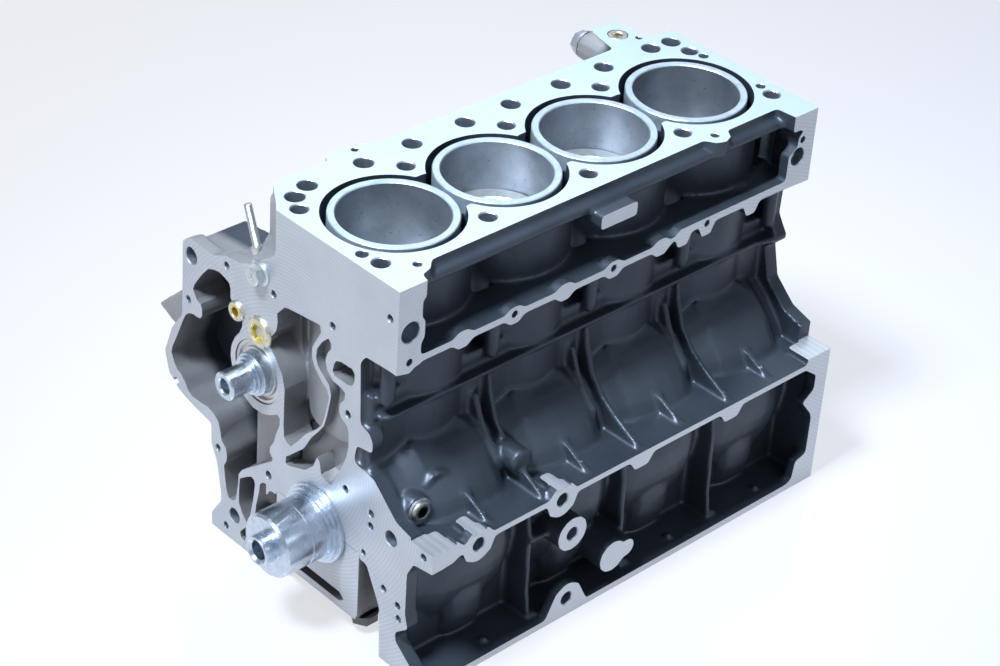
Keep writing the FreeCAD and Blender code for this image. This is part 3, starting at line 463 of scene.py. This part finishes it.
LEG_SLOTS = (
    ((93.9, -16.2), (86.4, -10.3), (80.2, -6.1), (76.4, -7.2), (75.2, -11.3), (77.5, -27.3),
     (82.4, -51), (85.5, -53.9), (90, -49.7), (95.1, -41), (95.3, -33.3), (94.5, -20)),
    ((69, -6.6), (65.4, -3), (61.7, -2.2), (61.6, -10.8), (59.1, -14.1), (57, -15), (58, -20),
     (62, -29.1), (74.9, -41.4), (73.8, -29.9), (70.2, -15.1)),
    ((91.2, -65.4), (86.1, -59.3), (84.8, -66.4), (88, -74.4), (92.4, -73.2), (93.7, -69)))
STOCK = (
    (-40, 180), (-40, 45), (0, 42), (39, 29), (58, 20), (60, 0), (76, -60), (96, -60), (110, -46),
    (114, -18), (124, 20), (150, 24), (168, 30), (180, 40), (184, 55), (175, 80), (160, 100),
    (158, 163), (60, 170))
DEEP_STOCK = (
    (92, 60), (98, -45), (110, -46), (114, -18), (124, 20), (150, 24), (168, 30), (180, 40),
    (184, 55), (175, 80), (160, 100), (158, 163), (92, 163))


def outline(name, points, start, end):
    """A prism along x whose section is given by (y, z) points in millimetres."""
    return solid(name, [[(x, y / 1000, z / 1000) for y, z in points] for x in (start, end)])


LEG_DEPTHS = (0.026, 0.022, 0.006)
CASE_FLOOR = 0.0145         # the case's first floor, and the deep part of it left of this y
DEEP_FLOOR = 0.044
DEEP_SIDE = 90
CORNER_EDGE = ((0.0530, 0.260), (0.0530, 0.2150), (0.0545, 0.2085), (0.0600, 0.2030),
               (0.0700, 0.1965), (0.0840, 0.1905))
CORNER_SWEEP = ((AHEAD, 0), (0, 0), (0.004, 0.005), (0.012, 0.022), (0.022, 0.0316), (0.034, 0.0316))
CORNER_SIDE = 0.14


def corner_room():
    """The room beside the deck's front left corner, whose side sweeps back to the long wall."""
    rings = []
    for y, z in CORNER_EDGE:
        ring = [(x, y + more, z) for x, more in CORNER_SWEEP]
        rings.append(ring + [(CORNER_SWEEP[-1][0], CORNER_SIDE, z), (AHEAD, CORNER_SIDE, z)])
    return solid("corner_room", rings)


def front_cavities():
    """The pockets of the front face; those before the first cylinder end at its wall."""
    wall = turned("cylinder_wall", 2, (FIRST, 0), [(0.080, 0.057), (DECK, 0.057)], 64)
    inner = joined("inner_pockets", [outline("centre", CENTRE, AHEAD, 0.022),
                                     outline("slot", SLOT, AHEAD, 0.014)])
    cutters = [carve(inner, [wall]), outline("window", WINDOW, AHEAD, 0.024),
               outline("case", CASE, AHEAD, CASE_FLOOR)]
    cutters += [outline("leg_slot", slot, AHEAD, depth) for slot, depth in zip(LEG_SLOTS, LEG_DEPTHS)]
    deep = outline("deep_case", [spot for spot in CASE if spot[0] > DEEP_SIDE], 0.0130, DEEP_FLOOR)
    seat = turned("shaft_bore", 0, SHAFT, [(AHEAD, 0.0262), (0.020, 0.0262)], 72)
    return cutters + [deep, corner_room(), seat]


PLANES = ((2, DECK, 1), (0, FRONT, -1), (0, REAR, 1), (1, FLANGE, -1), (1, SKIRT, -1), (2, RAIL, -1))
PAD_SPANS = ((-0.01, 0.0225), (0.038, 0.052), (0.122, 0.136), (0.400, 0.440))
PAD_SIDE = -0.1             # the pads lie on this side of it


def cast_skin(piece):
    """The rounded skin that a mould leaves, with stock left on the planes that are milled later."""
    spots = np.empty(len(piece.data.vertices) * 3)
    piece.data.vertices.foreach_get("co", spots)
    spots = spots.reshape(-1, 3)
    for axis, plane, push in PLANES:
        on_plane = np.abs(spots[:, axis] - plane) < ON_PLANE
        spots[on_plane, axis] += push * OVERSIZE
    pads = (np.abs(spots[:, 2] - PAD) < ON_PLANE) & (spots[:, 1] < PAD_SIDE)
    spots[pads, 2] += OVERSIZE
    piece.data.vertices.foreach_set("co", spots.ravel())
    piece.data.update()
    stock = [outline("stock", STOCK, 0.0002 - OVERSIZE, 0.0160),
             outline("deep_stock", DEEP_STOCK, 0.001, 0.0435)]
    whole = joined("block_casting", [piece] + cast_details() + stock)
    rough = whole.modifiers.new("cast_skin", "REMESH")
    rough.mode = "VOXEL"
    rough.voxel_size = CAST_VOXEL
    soft = whole.modifiers.new("cast_rounding", "SMOOTH")
    soft.factor = 0.5
    soft.iterations = CAST_SMOOTHING
    return apply_modifiers(whole)


def mill(piece):
    """Take the stock off each machined plane."""
    beyond = 0.05
    shaves = [
        slab("mill_deck", (-0.1, -0.3, DECK), (0.6, 0.3, DECK + beyond)),
        slab("mill_front", (-beyond, -0.3, -0.3), (FRONT, 0.3, 0.4)),
        slab("mill_rear", (REAR, -0.3, -0.3), (REAR + beyond, 0.3, 0.4)),
        slab("mill_flange", (-0.1, FLANGE - 0.012, 0.16), (0.6, FLANGE, 0.3)),
        slab("mill_skirt", (-0.1, SKIRT - beyond, -0.2), (0.6, SKIRT, 0.16)),
        slab("mill_rail", (-0.1, -0.3, RAIL - beyond), (0.6, 0.3, RAIL)),
    ]
    for start, end in PAD_SPANS:
        shaves.append(slab("mill_pad", (start, SKIRT - 0.01, PAD), (end, -0.104, PAD + 0.02)))
    return carve(piece, shaves)


def thinned(piece):
    """The same skin with fewer triangles."""
    thin = piece.modifiers.new("thin", "DECIMATE")
    thin.ratio = KEPT_FACES
    return apply_modifiers(piece)


# Holes of each face: two coordinates in its plane and the radius, in millimetres.
FRONT_HOLES = (
    (-72, 221, 3), (-11.6, 182.5, 3), (55, 174.5, 3), (110.6, 171, 3), (158, 116.5, 3), (175, 31, 3),
    (121.6, -2.7, 3), (59, 8, 3.5), (-31, 116.5, 3), (-31, 49, 3), (-60, 44, 3), (-60, 32.5, 3),
    (-118, 40, 3), (-53, 3.7, 2.4), (-77, -15.4, 3), (-93, -21.4, 3), (-94.5, -33, 3),
    (111.7, -73.3, 3))
DECK_HOLES = (
    (11, -28, 4.6), (33, -61, 3.2), (331, -62, 3.2), (417, 32, 3.9), (417, -30, 3.7), (99, 85, 2.6),
    (397, 85, 2.6))
FLANGE_HOLES = ((12, 184), (112, 183.5), (212, 183.5), (312, 185), (414.5, 223))
PASSAGES = [(22, 59.5), (413, 64.5)] + [(64 + 100 * i + aside, 66.5) for i in range(CYLINDERS)
                                        for aside in (-25, 28)]
HEAD_BOLT_Y = 0.0445
DECK_HOLE_DEPTH = -0.0598
# Single holes: axis, centre, radius, the face it opens in, its depth and its chamfer.
DOWEL_HOLES = [
    (0, (0.154, 0.1576), 0.0068, FRONT, 0.0148, 0.0008),
    (0, (-0.0826, 0.035), 0.0064, FRONT, 0.0148, 0.0006),
    (0, (0.101, -0.057), 0.0064, FRONT, 0.0118, 0.0006)]
SIDE_HOLES = [
    (1, (0.012, 0.209), 0.0082, FLANGE, 0.0148, 0.0008),
    (1, (0.411, 0.209), 0.0074, FLANGE, 0.0148, 0.0008),
    (1, (0.045, 0.036), 0.0055, SKIRT, 0.0168, 0.0008),
    (1, (0.129, 0.036), 0.0055, SKIRT, 0.0168, 0.0008),
    (1, (0.143, -0.003), 0.0055, SKIRT, 0.0168, 0.0008),
    (1, (0.143, -0.066), 0.0055, SKIRT, 0.0088, 0.0008)]


def bored_holes():
    """Every hole of the casting: axis, centre, radius, the face it opens in, its depth and chamfer."""
    holes = [(0, (y / 1000, z / 1000), r / 1000, FRONT, 0.012, 0.0005) for y, z, r in FRONT_HOLES]
    holes += DOWEL_HOLES
    holes += [(2, (x / 1000, y / 1000), r / 1000, DECK, -0.014, 0.0005) for x, y, r in DECK_HOLES]
    for i in range(CYLINDERS + 1):
        x = FIRST + (i - 0.5) * PITCH
        holes += [(2, (x, side * HEAD_BOLT_Y), 0.0065, DECK, DECK_HOLE_DEPTH, 0.0009)
                  for side in (-1, 1)]
    holes += [(2, (x / 1000, y / 1000), 0.0075, DECK, DECK_HOLE_DEPTH, 0.0006) for x, y in PASSAGES]
    holes += [(1, (x / 1000, z / 1000), 0.0028, FLANGE, 0.010, 0.0004) for x, z in FLANGE_HOLES]
    return holes + SIDE_HOLES


JACKET = 0.0531
JACKET_DEPTH = 0.1095


def drilled(piece):
    """Bore the round pockets that the liners stand in, the holes and the front pockets."""
    for start in (0, 1):
        pockets = [turned("pocket", 2, (FIRST + i * PITCH, 0),
                          [(DECK - JACKET_DEPTH, JACKET), (DECK + 0.01, JACKET)], 96)
                   for i in range(start, CYLINDERS, 2)]
        carve(piece, [joined("pockets", pockets)])
    holes = joined("holes", [drill("hole", *hole) for hole in bored_holes()])
    return carve(piece, [holes] + front_cavities())


CAST, MILLED_DECK, MILLED_END, MILLED_SIDE, BORED = range(5)


def casting_kinds(mesh):
    """What each face of the casting is: cast, milled or bored."""
    centres = face_data(mesh, "center")
    facing = face_data(mesh, "normal")
    kinds = np.zeros(len(mesh.polygons), dtype=np.int32)
    flat = 0.9
    kinds[(centres[:, 2] > DECK - HAIR) & (facing[:, 2] > flat)] = MILLED_DECK
    kinds[(centres[:, 0] < FRONT + HAIR) & (facing[:, 0] < -flat)] = MILLED_END
    kinds[(centres[:, 0] > REAR - HAIR) & (facing[:, 0] > flat)] = MILLED_END
    kinds[(np.abs(centres[:, 1] - FLANGE) < HAIR) & (facing[:, 1] < -flat)] = MILLED_SIDE
    kinds[(centres[:, 1] < SKIRT + HAIR) & (facing[:, 1] < -flat)] = MILLED_SIDE
    kinds[(centres[:, 2] < RAIL + HAIR) & (facing[:, 2] < -flat)] = MILLED_SIDE
    pads = (np.abs(centres[:, 2] - PAD) < HAIR) & (centres[:, 1] < PAD_SIDE)
    kinds[pads & (facing[:, 2] > flat)] = MILLED_SIDE
    for axis, centre, radius, mouth, depth, chamfer in bored_holes():
        others = [k for k in range(3) if k != axis]
        away = np.hypot(centres[:, others[0]] - centre[0], centres[:, others[1]] - centre[1])
        level = (centres[:, axis] - mouth) * math.copysign(1, depth)
        within = (level > ON_PLANE) & (level < abs(depth) + HAIR)
        kinds[(away < radius + chamfer) & within] = BORED
    return kinds


block = thinned(mill(cast_skin(copy_of("cylinder_block", "block_copy"))))
mend(block)
drilled(block)
# Painted light: one milled aluminium in three tones, the deck paler and bluer for the bright sky it
# reflects, the ends darkest.
milled_end = milled_finish("milled_end", (0.33, 0.35, 0.39), (0.52, 0.54, 0.58), 0.34,
                           axes=(1, 2), centre=(0.02, 0.06), step=0.0031)
hand_over(
    block, "block", "block_casting", "cylinder_block", cast_finish(),
    milled_finish("milled_deck", (0.45, 0.56, 0.64), (0.55, 0.66, 0.74), 0.36,
                  axes=(0, 1), centre=(0.2, -0.6), step=0.003),
    milled_end,
    milled_finish("milled_side", (0.40, 0.42, 0.46), (0.60, 0.63, 0.68), 0.34,
                  axes=(0, 2), centre=(0.2, -0.3), step=0.0031),
    metal_finish("bored_aluminium", (0.42, 0.47, 0.54), 0.36))
kinds = casting_kinds(block.data)
paint(block, kinds)
shade(block, 38)
block.data.polygons.foreach_set("use_smooth", (kinds == CAST) | (kinds == BORED))
block.data.update()


# ---------------------------------------------------------------- cylinder liners
# Four cast-iron sleeves, 96 mm outside and 84 mm inside, that stand in round pockets of the open
# deck.  Their top faces are turned flush with it, and the bores are honed to a grey cross-hatch.
LINER_FOOT = 0.107
OUTSIDE = 0.048
BORE = 0.042


def honed_finish():
    """Honed iron: two sets of fine scratches that cross, clouds of tone and a few dark specks."""
    made = Finish("honed_iron")
    x, y, z = made.axes()
    beside = (x - (FIRST - PITCH / 2)).math("FLOORED_MODULO", PITCH) - PITCH / 2
    round_the_bore = y.math("ARCTAN2", beside) * BORE
    fineness = 5200.0
    up = (round_the_bore * 0.87 + z * 0.5) * fineness
    down = (round_the_bore * 0.87 - z * 0.5) * fineness
    hatch = (up.math("SINE") + down.math("SINE")) * 0.25 + 0.5
    cloud = made.noise(scale=30, detail=4, roughness=0.6)
    specks = made.noise(scale=420, detail=2, roughness=0.5).between(0.66, 0.72)
    tone = (hatch * 0.25 + cloud * 0.75).between(0.3, 0.72)
    grey = made.mix(tone, (0.16, 0.185, 0.22), (0.33, 0.365, 0.41))
    return made.set(Base_Color=made.mix(specks * 0.5, grey, (0.05, 0.05, 0.06)), Metallic=0.8,
                    Roughness=0.36, Normal=made.bump(hatch, 0.25, 0.0002))


rim_iron = metal_finish("turned_iron", (0.50, 0.60, 0.68), 0.36, metallic=0.8, turning=2)
honed = honed_finish()
for i in range(CYLINDERS):
    sleeve = turned(f"liner_{i + 1}", 2, (FIRST + i * PITCH, 0), [
        (LINER_FOOT, OUTSIDE), (DECK - 0.0008, OUTSIDE), (DECK, OUTSIDE - 0.0006),
        (DECK, BORE + 0.0007), (DECK - 0.0009, BORE), (LINER_FOOT, BORE)], 96, closed=True)
    middles = face_data(sleeve.data, "center")
    inner = np.hypot(middles[:, 0] - FIRST - i * PITCH, middles[:, 1]) < BORE + 0.0001
    hand_over(sleeve, "block", "liner", f"cylinder_liner_{i + 1}", rim_iron, honed)
    paint(sleeve, inner)
    shade(sleeve)


# ---------------------------------------------------------------- pistons
# Four aluminium trunk pistons, 83.8 mm across and 68 mm long: a flat crown with a shallow dish, three
# ring grooves with iron rings, and a skirt that is hollow below between the pin's bosses.
PISTON = 0.0419
PISTON_HEIGHT = 0.068
GROOVES = (0.0215, 0.0150, 0.0090)      # each one's foot below the crown
GROOVE_DEPTH = 0.0022
GROOVE_HEIGHT = 0.0018
RING_GAP = 0.0002
RING_HEIGHT = 0.0014
PIN_DROP = 0.038
PIN_ROOM = 0.014
BODIES = ("piston_one", "piston_two", "piston_three", "piston_four")


def piston_blank(i, crown):
    """The turned outside with its dish and grooves."""
    profile = [(crown - PISTON_HEIGHT, 0.0405), (crown - PISTON_HEIGHT + 0.0012, PISTON)]
    for groove in GROOVES:
        level = crown - groove
        profile += [(level, PISTON), (level, PISTON - GROOVE_DEPTH),
                    (level + GROOVE_HEIGHT, PISTON - GROOVE_DEPTH), (level + GROOVE_HEIGHT, PISTON)]
    profile += [(crown - 0.0008, PISTON), (crown, PISTON - 0.0009), (crown, 0.0300),
                (crown - 0.0012, 0.0285)]
    return turned(f"piston_{i}", 2, (FIRST + (i - 1) * PITCH, 0), profile, 72)


def piston_ring(middle, level):
    """An iron ring in its groove, a hair narrower than the piston."""
    inside, outside = PISTON - 0.0019, PISTON - 0.00005
    return turned("ring", 2, (middle, 0), [(level, inside), (level, outside),
                                           (level + RING_HEIGHT, outside),
                                           (level + RING_HEIGHT, inside)], 72, closed=True)


crown_metal = metal_finish("piston_aluminium", (0.50, 0.51, 0.52), 0.38, metallic=0.85)
ring_iron = metal_finish("ring_iron", (0.20, 0.21, 0.23), 0.35)
for i, body in enumerate(BODIES, start=1):
    crown = max(corner[2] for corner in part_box(f"piston_{i}"))
    below = crown - PISTON_HEIGHT - 0.01
    middle = FIRST + (i - 1) * PITCH
    shell = piston_blank(i, crown)
    room = slab("room", (middle - PIN_ROOM, -0.028, below), (middle + PIN_ROOM, 0.028, crown - 0.014))
    relief = [slab("relief", (middle + side * 0.036 - 0.006, -0.03, below),
                   (middle + side * 0.036 + 0.006, 0.03, crown - 0.028)) for side in (-1, 1)]
    pin = turned("pin_hole", 0, (0, crown - PIN_DROP),
                 [(middle - 0.05, 0.0105), (middle + 0.05, 0.0105)], 32)
    carve(shell, [room, joined("reliefs", relief), pin])
    rings = [piston_ring(middle, crown - groove + RING_GAP) for groove in GROOVES]
    ring_faces = sum(len(ring.data.polygons) for ring in rings)
    piece = joined(f"piston_{i}_dressed", [shell] + rings)
    hand_over(piece, body, "piston", f"piston_{i}", crown_metal, ring_iron)
    numbers = np.zeros(len(piece.data.polygons))
    numbers[-ring_faces:] = 1
    paint(piece, numbers)
    shade(piece)


# ---------------------------------------------------------------- crankshaft
# One steel forging: dark webs with eased edges, ground journals, and a bright turned nose that
# steps down from a 65 mm collar to a 24.6 mm spigot with a threaded centre hole.
JOURNAL_REACH = 0.0312      # ground faces lie no farther from the axis
TAIL = 0.4285
NOSE = (
    (0.004, 0.0310), (-0.0002, 0.0310), (-0.0002, 0.0322), (-0.0005, 0.0325), (-0.0037, 0.0325),
    (-0.0040, 0.0322), (-0.0040, 0.0305), (-0.0070, 0.0302), (-0.0070, 0.0280), (-0.0100, 0.0278),
    (-0.0100, 0.0260), (-0.0240, 0.0260), (-0.0243, 0.0256), (-0.0250, 0.0256), (-0.0253, 0.0260),
    (-0.0468, 0.0260), (-0.0490, 0.0240), (-0.0490, 0.0123), (-0.0574, 0.0123), (-0.0580, 0.0117),
    (-0.0580, 0.0103), (-0.0558, 0.0080), (-0.0370, 0.0080))


def ease_edges(piece, width):
    """A narrow chamfer in two steps on every sharp edge."""
    ease = piece.modifiers.new("ease", "BEVEL")
    ease.width = width
    ease.segments = 2
    ease.limit_method = "ANGLE"
    ease.angle_limit = math.radians(50)
    return apply_modifiers(piece)


shaft = carve(copy_of("crankshaft", "crank_copy"),
              [slab("nose_off", (-0.1, -0.1, -0.1), (0.001, 0.1, 0.1))])
ease_edges(shaft, 0.0014)
middles = face_data(shaft.data, "center")
round_faces = np.abs(face_data(shaft.data, "normal")[:, 0]) < 0.5
ground = (np.hypot(middles[:, 1], middles[:, 2]) < JOURNAL_REACH) & round_faces
ground |= middles[:, 0] > TAIL
nose = turned("nose", 0, (0, 0), NOSE, 96)
nose_faces = len(nose.data.polygons)
crank = joined("crank", [shaft, nose])
forged_steel = metal_finish("forged_steel", (0.13, 0.13, 0.14), 0.45)
turned_steel = metal_finish("turned_steel", (0.62, 0.70, 0.80), 0.2, metallic=1.0, spacing=0.0009)
hand_over(crank, "crank", "shaft_steel", "crankshaft", forged_steel, turned_steel)
paint(crank, np.append(ground, np.ones(nose_faces)))
shade(crank, 30)


# ---------------------------------------------------------------- main bearing caps and their bolts
# Five cast-iron caps, 98 mm wide, each held by two hexagon bolts from below.  The front one is
# milled flush with the block's front face and has a slot for the oil pan's seal.
CAP_BOLT_Y = 0.041
CAP_BOLT = ((0.040, 0.0055), (-0.066, 0.0055), (-0.066, 0.0112), (-0.0675, 0.0112),
            (-0.0675, 0.0096, 6), (-0.0742, 0.0096, 6), (-0.0750, 0.0088))
cap_iron = metal_finish("cap_iron", (0.19, 0.19, 0.20), 0.5, metallic=0.8)
for i in range(1, CYLINDERS + 2):
    cap = ease_edges(copy_of(f"main_bearing_cap_{i}", f"cap_{i}"), 0.0006)
    hand_over(cap, "block", "cap_iron", f"main_bearing_cap_{i}", cap_iron, milled_end)
    paint(cap, face_data(cap.data, "center")[:, 0] < FRONT + ON_PLANE)
    shade(cap)

bolts = [turned("cap_bolt", 2, (FIRST + (i - 0.5) * PITCH, side * CAP_BOLT_Y), CAP_BOLT, 48)
         for i in range(CYLINDERS + 1) for side in (-1, 1)]
shade(hand_over(joined("cap_bolt_set", bolts), "block", "bolt_steel", "cap_bolts",
                metal_finish("bolt_steel", (0.12, 0.12, 0.125), 0.35)))


# ---------------------------------------------------------------- balance shaft and its rings
# A steel shaft with a stepped bright nose, 23 mm at the end with a centre hole, that turns in two
# rings pressed into the casting.  The front ring shows its edge, a shallow groove and the seat.
SHAFT_TIP = (
    (0.012, 0.0168), (0.0008, 0.0170), (0.0004, 0.0173), (-0.0056, 0.0173), (-0.0060, 0.0169),
    (-0.0060, 0.0155), (-0.0090, 0.0152), (-0.0090, 0.0135), (-0.0110, 0.0132), (-0.0110, 0.0115),
    (-0.0300, 0.0115), (-0.0310, 0.0105), (-0.0310, 0.0072), (-0.0298, 0.0060), (-0.0180, 0.0060))
RING_SEAT = 0.0260
RING_BORE = 0.01705
FRONT_RING = (
    (0.0120, RING_SEAT), (0.0014, RING_SEAT), (0.0010, 0.0256), (0.0010, 0.0232), (0.0034, 0.0226),
    (0.0034, 0.0202), (0.0016, 0.0196), (0.0016, 0.0178), (0.0022, RING_BORE), (0.0120, RING_BORE))
REAR_RING = ((0.317, RING_SEAT), (0.328, RING_SEAT), (0.328, RING_BORE), (0.317, RING_BORE))
back = carve(copy_of("balance_shaft", "shaft_copy"),
             [slab("tip_off", (-0.1, 0, 0), (0.010, 0.2, 0.2))])
tip = turned("tip", 0, SHAFT, SHAFT_TIP, 72)
shade(hand_over(joined("balancer", [back, tip]), "balancer", "shaft_steel", "balance_shaft",
                turned_steel))
rings = [turned("front_ring", 0, SHAFT, FRONT_RING, 72, closed=True),
         turned("rear_ring", 0, SHAFT, REAR_RING, 72, closed=True)]
shade(hand_over(joined("ring_pair", rings), "block", "shaft_steel", "shaft_bearing_rings",
                metal_finish("ring_steel", (0.60, 0.60, 0.60), 0.3)))


# ---------------------------------------------------------------- oil way plugs
# Socket-head plugs: two pale zinc ones with yellow sockets in the front face, one on the rear tab of
# the deck, a steel one with a washer in the shelf gallery and a plain disc in the pocket behind it.
PLUG_HOLE = (0.022, 0.054)      # gallery plug's axis (x, z)
# The rim of a head: share of its height, share of its radius.
RIM_STEPS = ((0.0, 1.0), (0.30, 1.0), (0.75, 0.94), (1.0, 0.86), (1.0, 0.62), (0.85, 0.58))
HEAD_HEIGHT = 0.0029
SOCKET_FLOOR = 0.003        # below the seat
PALE_ZINC, YELLOW_ZINC, PLUG_STEEL, SOCKET_SHADE, DULL_ZINC = range(5)
DISC = ((-0.0742, 0.0088), (-0.0796, 0.0088), (-0.0800, 0.0084), (-0.0800, 0.0062), (-0.0778, 0.0052))


def socket_plug(name, axis, centre, seat, out, radius, socket, rim_kind, socket_kind):
    """A flanged head from its seat outwards, with a rounded rim and a hexagon socket, and the
    material number of each of its faces."""
    shank = radius - 0.0035
    levels = [(seat - out * 0.008, shank), (seat - out * 0.0001, shank)]
    levels += [(seat + out * HEAD_HEIGHT * rise, radius * share) for rise, share in RIM_STEPS]
    levels += [(seat + out * HEAD_HEIGHT * RIM_STEPS[-1][0], socket, 6),
               (seat - out * SOCKET_FLOOR, socket, 6)]
    plug = turned(name, axis, centre, levels, 48)
    middles = face_data(plug.data, "center")
    others = [k for k in range(3) if k != axis]
    away = np.hypot(middles[:, others[0]] - centre[0], middles[:, others[1]] - centre[1])
    deep = (away < radius * 0.57) & ((middles[:, axis] - seat) * out > -0.0035)
    return plug, np.where(deep, socket_kind, rim_kind)


plug_parts = [
    socket_plug("big_plug", 0, (0.0700, 0.1337), 0.0, -1, 0.0135, 0.0062, PALE_ZINC, YELLOW_ZINC),
    socket_plug("small_plug", 0, (0.0972, 0.1383), 0.0, -1, 0.0085, 0.0036, PALE_ZINC, YELLOW_ZINC),
    socket_plug("tab_plug", 2, (0.387, 0.099), DECK - 0.0033, 1, 0.0088, 0.0038, DULL_ZINC, PALE_ZINC),
    # The gallery plug's socket is painted near black: painted shade in the hexagon recess.
    socket_plug("gallery_plug", 1, PLUG_HOLE, -0.0890, -1, 0.0088, 0.0036, PLUG_STEEL, SOCKET_SHADE),
]
disc = turned("pocket_disc", 1, (0.046, 0.060), DISC, 48)
plug_parts.append((disc, np.full(len(disc.data.polygons), PLUG_STEEL)))
plugs = joined("oil_plugs", [plug for plug, kinds in plug_parts])
hand_over(plugs, "block", "yellow_zinc", "oil_way_plugs",
          metal_finish("pale_zinc", (0.66, 0.64, 0.52), 0.22),
          metal_finish("yellow_zinc", (0.78, 0.60, 0.12), 0.3),
          metal_finish("plug_steel", (0.42, 0.42, 0.43), 0.28),
          metal_finish("socket_shade", (0.05, 0.05, 0.055), 0.4),
          metal_finish("dull_zinc", (0.60, 0.60, 0.55), 0.3))
paint(plugs, np.concatenate([kinds for plug, kinds in plug_parts]))
shade(plugs)


# ---------------------------------------------------------------- zinc fasteners and the side plug
# A flanged hexagon bolt in the front face, a bare threaded stud that leans back above it, the
# washer under the gallery plug, and the large hexagon plug in the boss beside the rear tab.
HEX_BOLT = (
    (0.008, 0.004), (-0.0001, 0.004), (-0.0001, 0.0100), (-0.0008, 0.0100), (-0.0022, 0.0084),
    (-0.0022, 0.0070, 6), (-0.0082, 0.0070, 6), (-0.0090, 0.0062), (-0.0090, 0.0022),
    (-0.0074, 0.0018))
WASHER = ((-0.0870, 0.0100), (-0.0888, 0.0100), (-0.0890, 0.0098), (-0.0890, 0.0070),
          (-0.0870, 0.0070))
SIDE_PLUG = (
    (0.1105, 0.008), (0.1185, 0.008), (0.1185, 0.0115), (0.1208, 0.0115), (0.1215, 0.0104),
    (0.1215, 0.0085, 6), (0.1276, 0.0085, 6), (0.1285, 0.0078), (0.1285, 0.004), (0.1260, 0.0036))
STUD_FOOT = Vector((0.008, 0.083, 0.193))
STUD_LEAN = Matrix.Rotation(math.radians(-20), 4, "X")
STUD_TURNS = 32
STUD_STEP = 0.001

hex_bolt = turned("hex_bolt", 0, (0.070, 0.185), HEX_BOLT, 48)
washer = turned("washer", 1, PLUG_HOLE, WASHER, 48, closed=True)
thread = [(0.0, 0.0047), (0.0050, 0.0047), (0.0052, 0.0031)]
for k in range(STUD_TURNS):
    thread += [(0.0060 + k * STUD_STEP, 0.0028), (0.0065 + k * STUD_STEP, 0.0032)]
thread.append((0.0380, 0.0024))
stud = turned("stud", 2, (0, 0), thread, 24)
stud.data.transform(Matrix.Translation(STUD_FOOT) @ STUD_LEAN)
shade(hand_over(joined("zinc_parts", [hex_bolt, washer, stud]), "block", "bolt_steel",
                "zinc_fasteners", metal_finish("bright_zinc", (0.62, 0.66, 0.68), 0.25)))
side_plug = turned("side_plug_dressed", 1, (0.372, 0.234), SIDE_PLUG, 48)
shade(hand_over(side_plug, "block", "bolt_steel", "side_plug",
                metal_finish("plated_steel", (0.46, 0.49, 0.53), 0.3)))


# ---------------------------------------------------------------- studio
# A pale sheet of paper that glows by itself, under four lamps: a large one behind and above the left,
# one ahead, a weak long one far out on the right, so that the cast side stays dark, and a narrow one
# that shines down into the bores.
GROUND = RAIL
PAPER_REACH = 6
LENS = 92.58
CAMERA_PLACE = (-0.9778, -1.1610, 1.2018)
CAMERA_RIGHT = (0.73450568, -0.67609502, 0.05828324)
CAMERA_DOWN = (-0.34392916, -0.44492561, -0.82689415)
CAMERA_FORWARD = (0.58499072, 0.58731314, -0.55932918)

eye = linked("eye", bpy.data.cameras.new("eye"))
eye.data.lens = LENS
eye.data.sensor_width = 36
eye.data.clip_end = 50
turn = Matrix((CAMERA_RIGHT, [-c for c in CAMERA_DOWN], [-c for c in CAMERA_FORWARD])).transposed()
eye.matrix_world = Matrix.Translation(CAMERA_PLACE) @ turn.to_4x4()
bpy.context.scene.camera = eye

paper = linked("paper", bpy.data.meshes.new("paper"))
paper.data.from_pydata([(x * PAPER_REACH, y * PAPER_REACH, GROUND)
                        for x, y in ((-1, -1), (1, -1), (1, 1), (-1, 1))], [], [(0, 1, 2, 3)])
sheet = Finish("paper")
x, y, _ = sheet.axes()
# Painted light: the glow fades from near white to a lavender grey across the sheet and softens the
# block's shadow on it.
across = (x * 0.73 - y * 0.68).between(-0.5, 0.8)
sheet.set(Base_Color=(0.16, 0.16, 0.17, 1), Roughness=0.16, Specular_IOR_Level=0.35,
          Emission_Color=sheet.mix(across, (0.70, 0.70, 0.71), (0.60, 0.63, 0.69)),
          Emission_Strength=1.0)
paper.data.materials.append(sheet.material)


def lamp(name, place, target, size, power, colour, spread=180):
    """A rectangular lamp that faces its target; the spread is in degrees."""
    light = bpy.data.lights.new(name, "AREA")
    light.shape = "RECTANGLE"
    light.size, light.size_y = size
    light.energy = power
    light.color = colour
    light.spread = math.radians(spread)
    made = linked(name, light)
    made.location = place
    made.rotation_euler = (Vector(target) - Vector(place)).to_track_quat("-Z", "Y").to_euler()


lamp("top_lamp", place=(0.9, 1.1, 2.0), target=(0.2, 0, 0.1), size=(2.2, 1.6), power=20,
     colour=(0.90, 0.95, 1.0))
lamp("front_lamp", place=(-2.0, 0.3, 0.9), target=(0.1, 0, 0.1), size=(1.2, 1.2), power=9,
     colour=(0.98, 0.98, 1.0))
lamp("side_lamp", place=(0.4, -2.2, 1.3), target=(0.2, 0, 0.1), size=(1.6, 0.5), power=10,
     colour=(0.80, 0.90, 1.0))
lamp("bore_lamp", place=(-1.1, 0.0, 2.5), target=(0.2, 0, 0.2), size=(0.6, 0.6), power=8,
     colour=(0.78, 0.88, 1.0), spread=30)

world = bpy.data.worlds.new("room")
bpy.context.scene.world = world
world.use_nodes = True
background = world.node_tree.nodes["Background"]
background.inputs["Color"].default_value = (0.78, 0.87, 1.0, 1)
background.inputs["Strength"].default_value = 0.45
bpy.context.scene.view_settings.view_transform = "Standard"
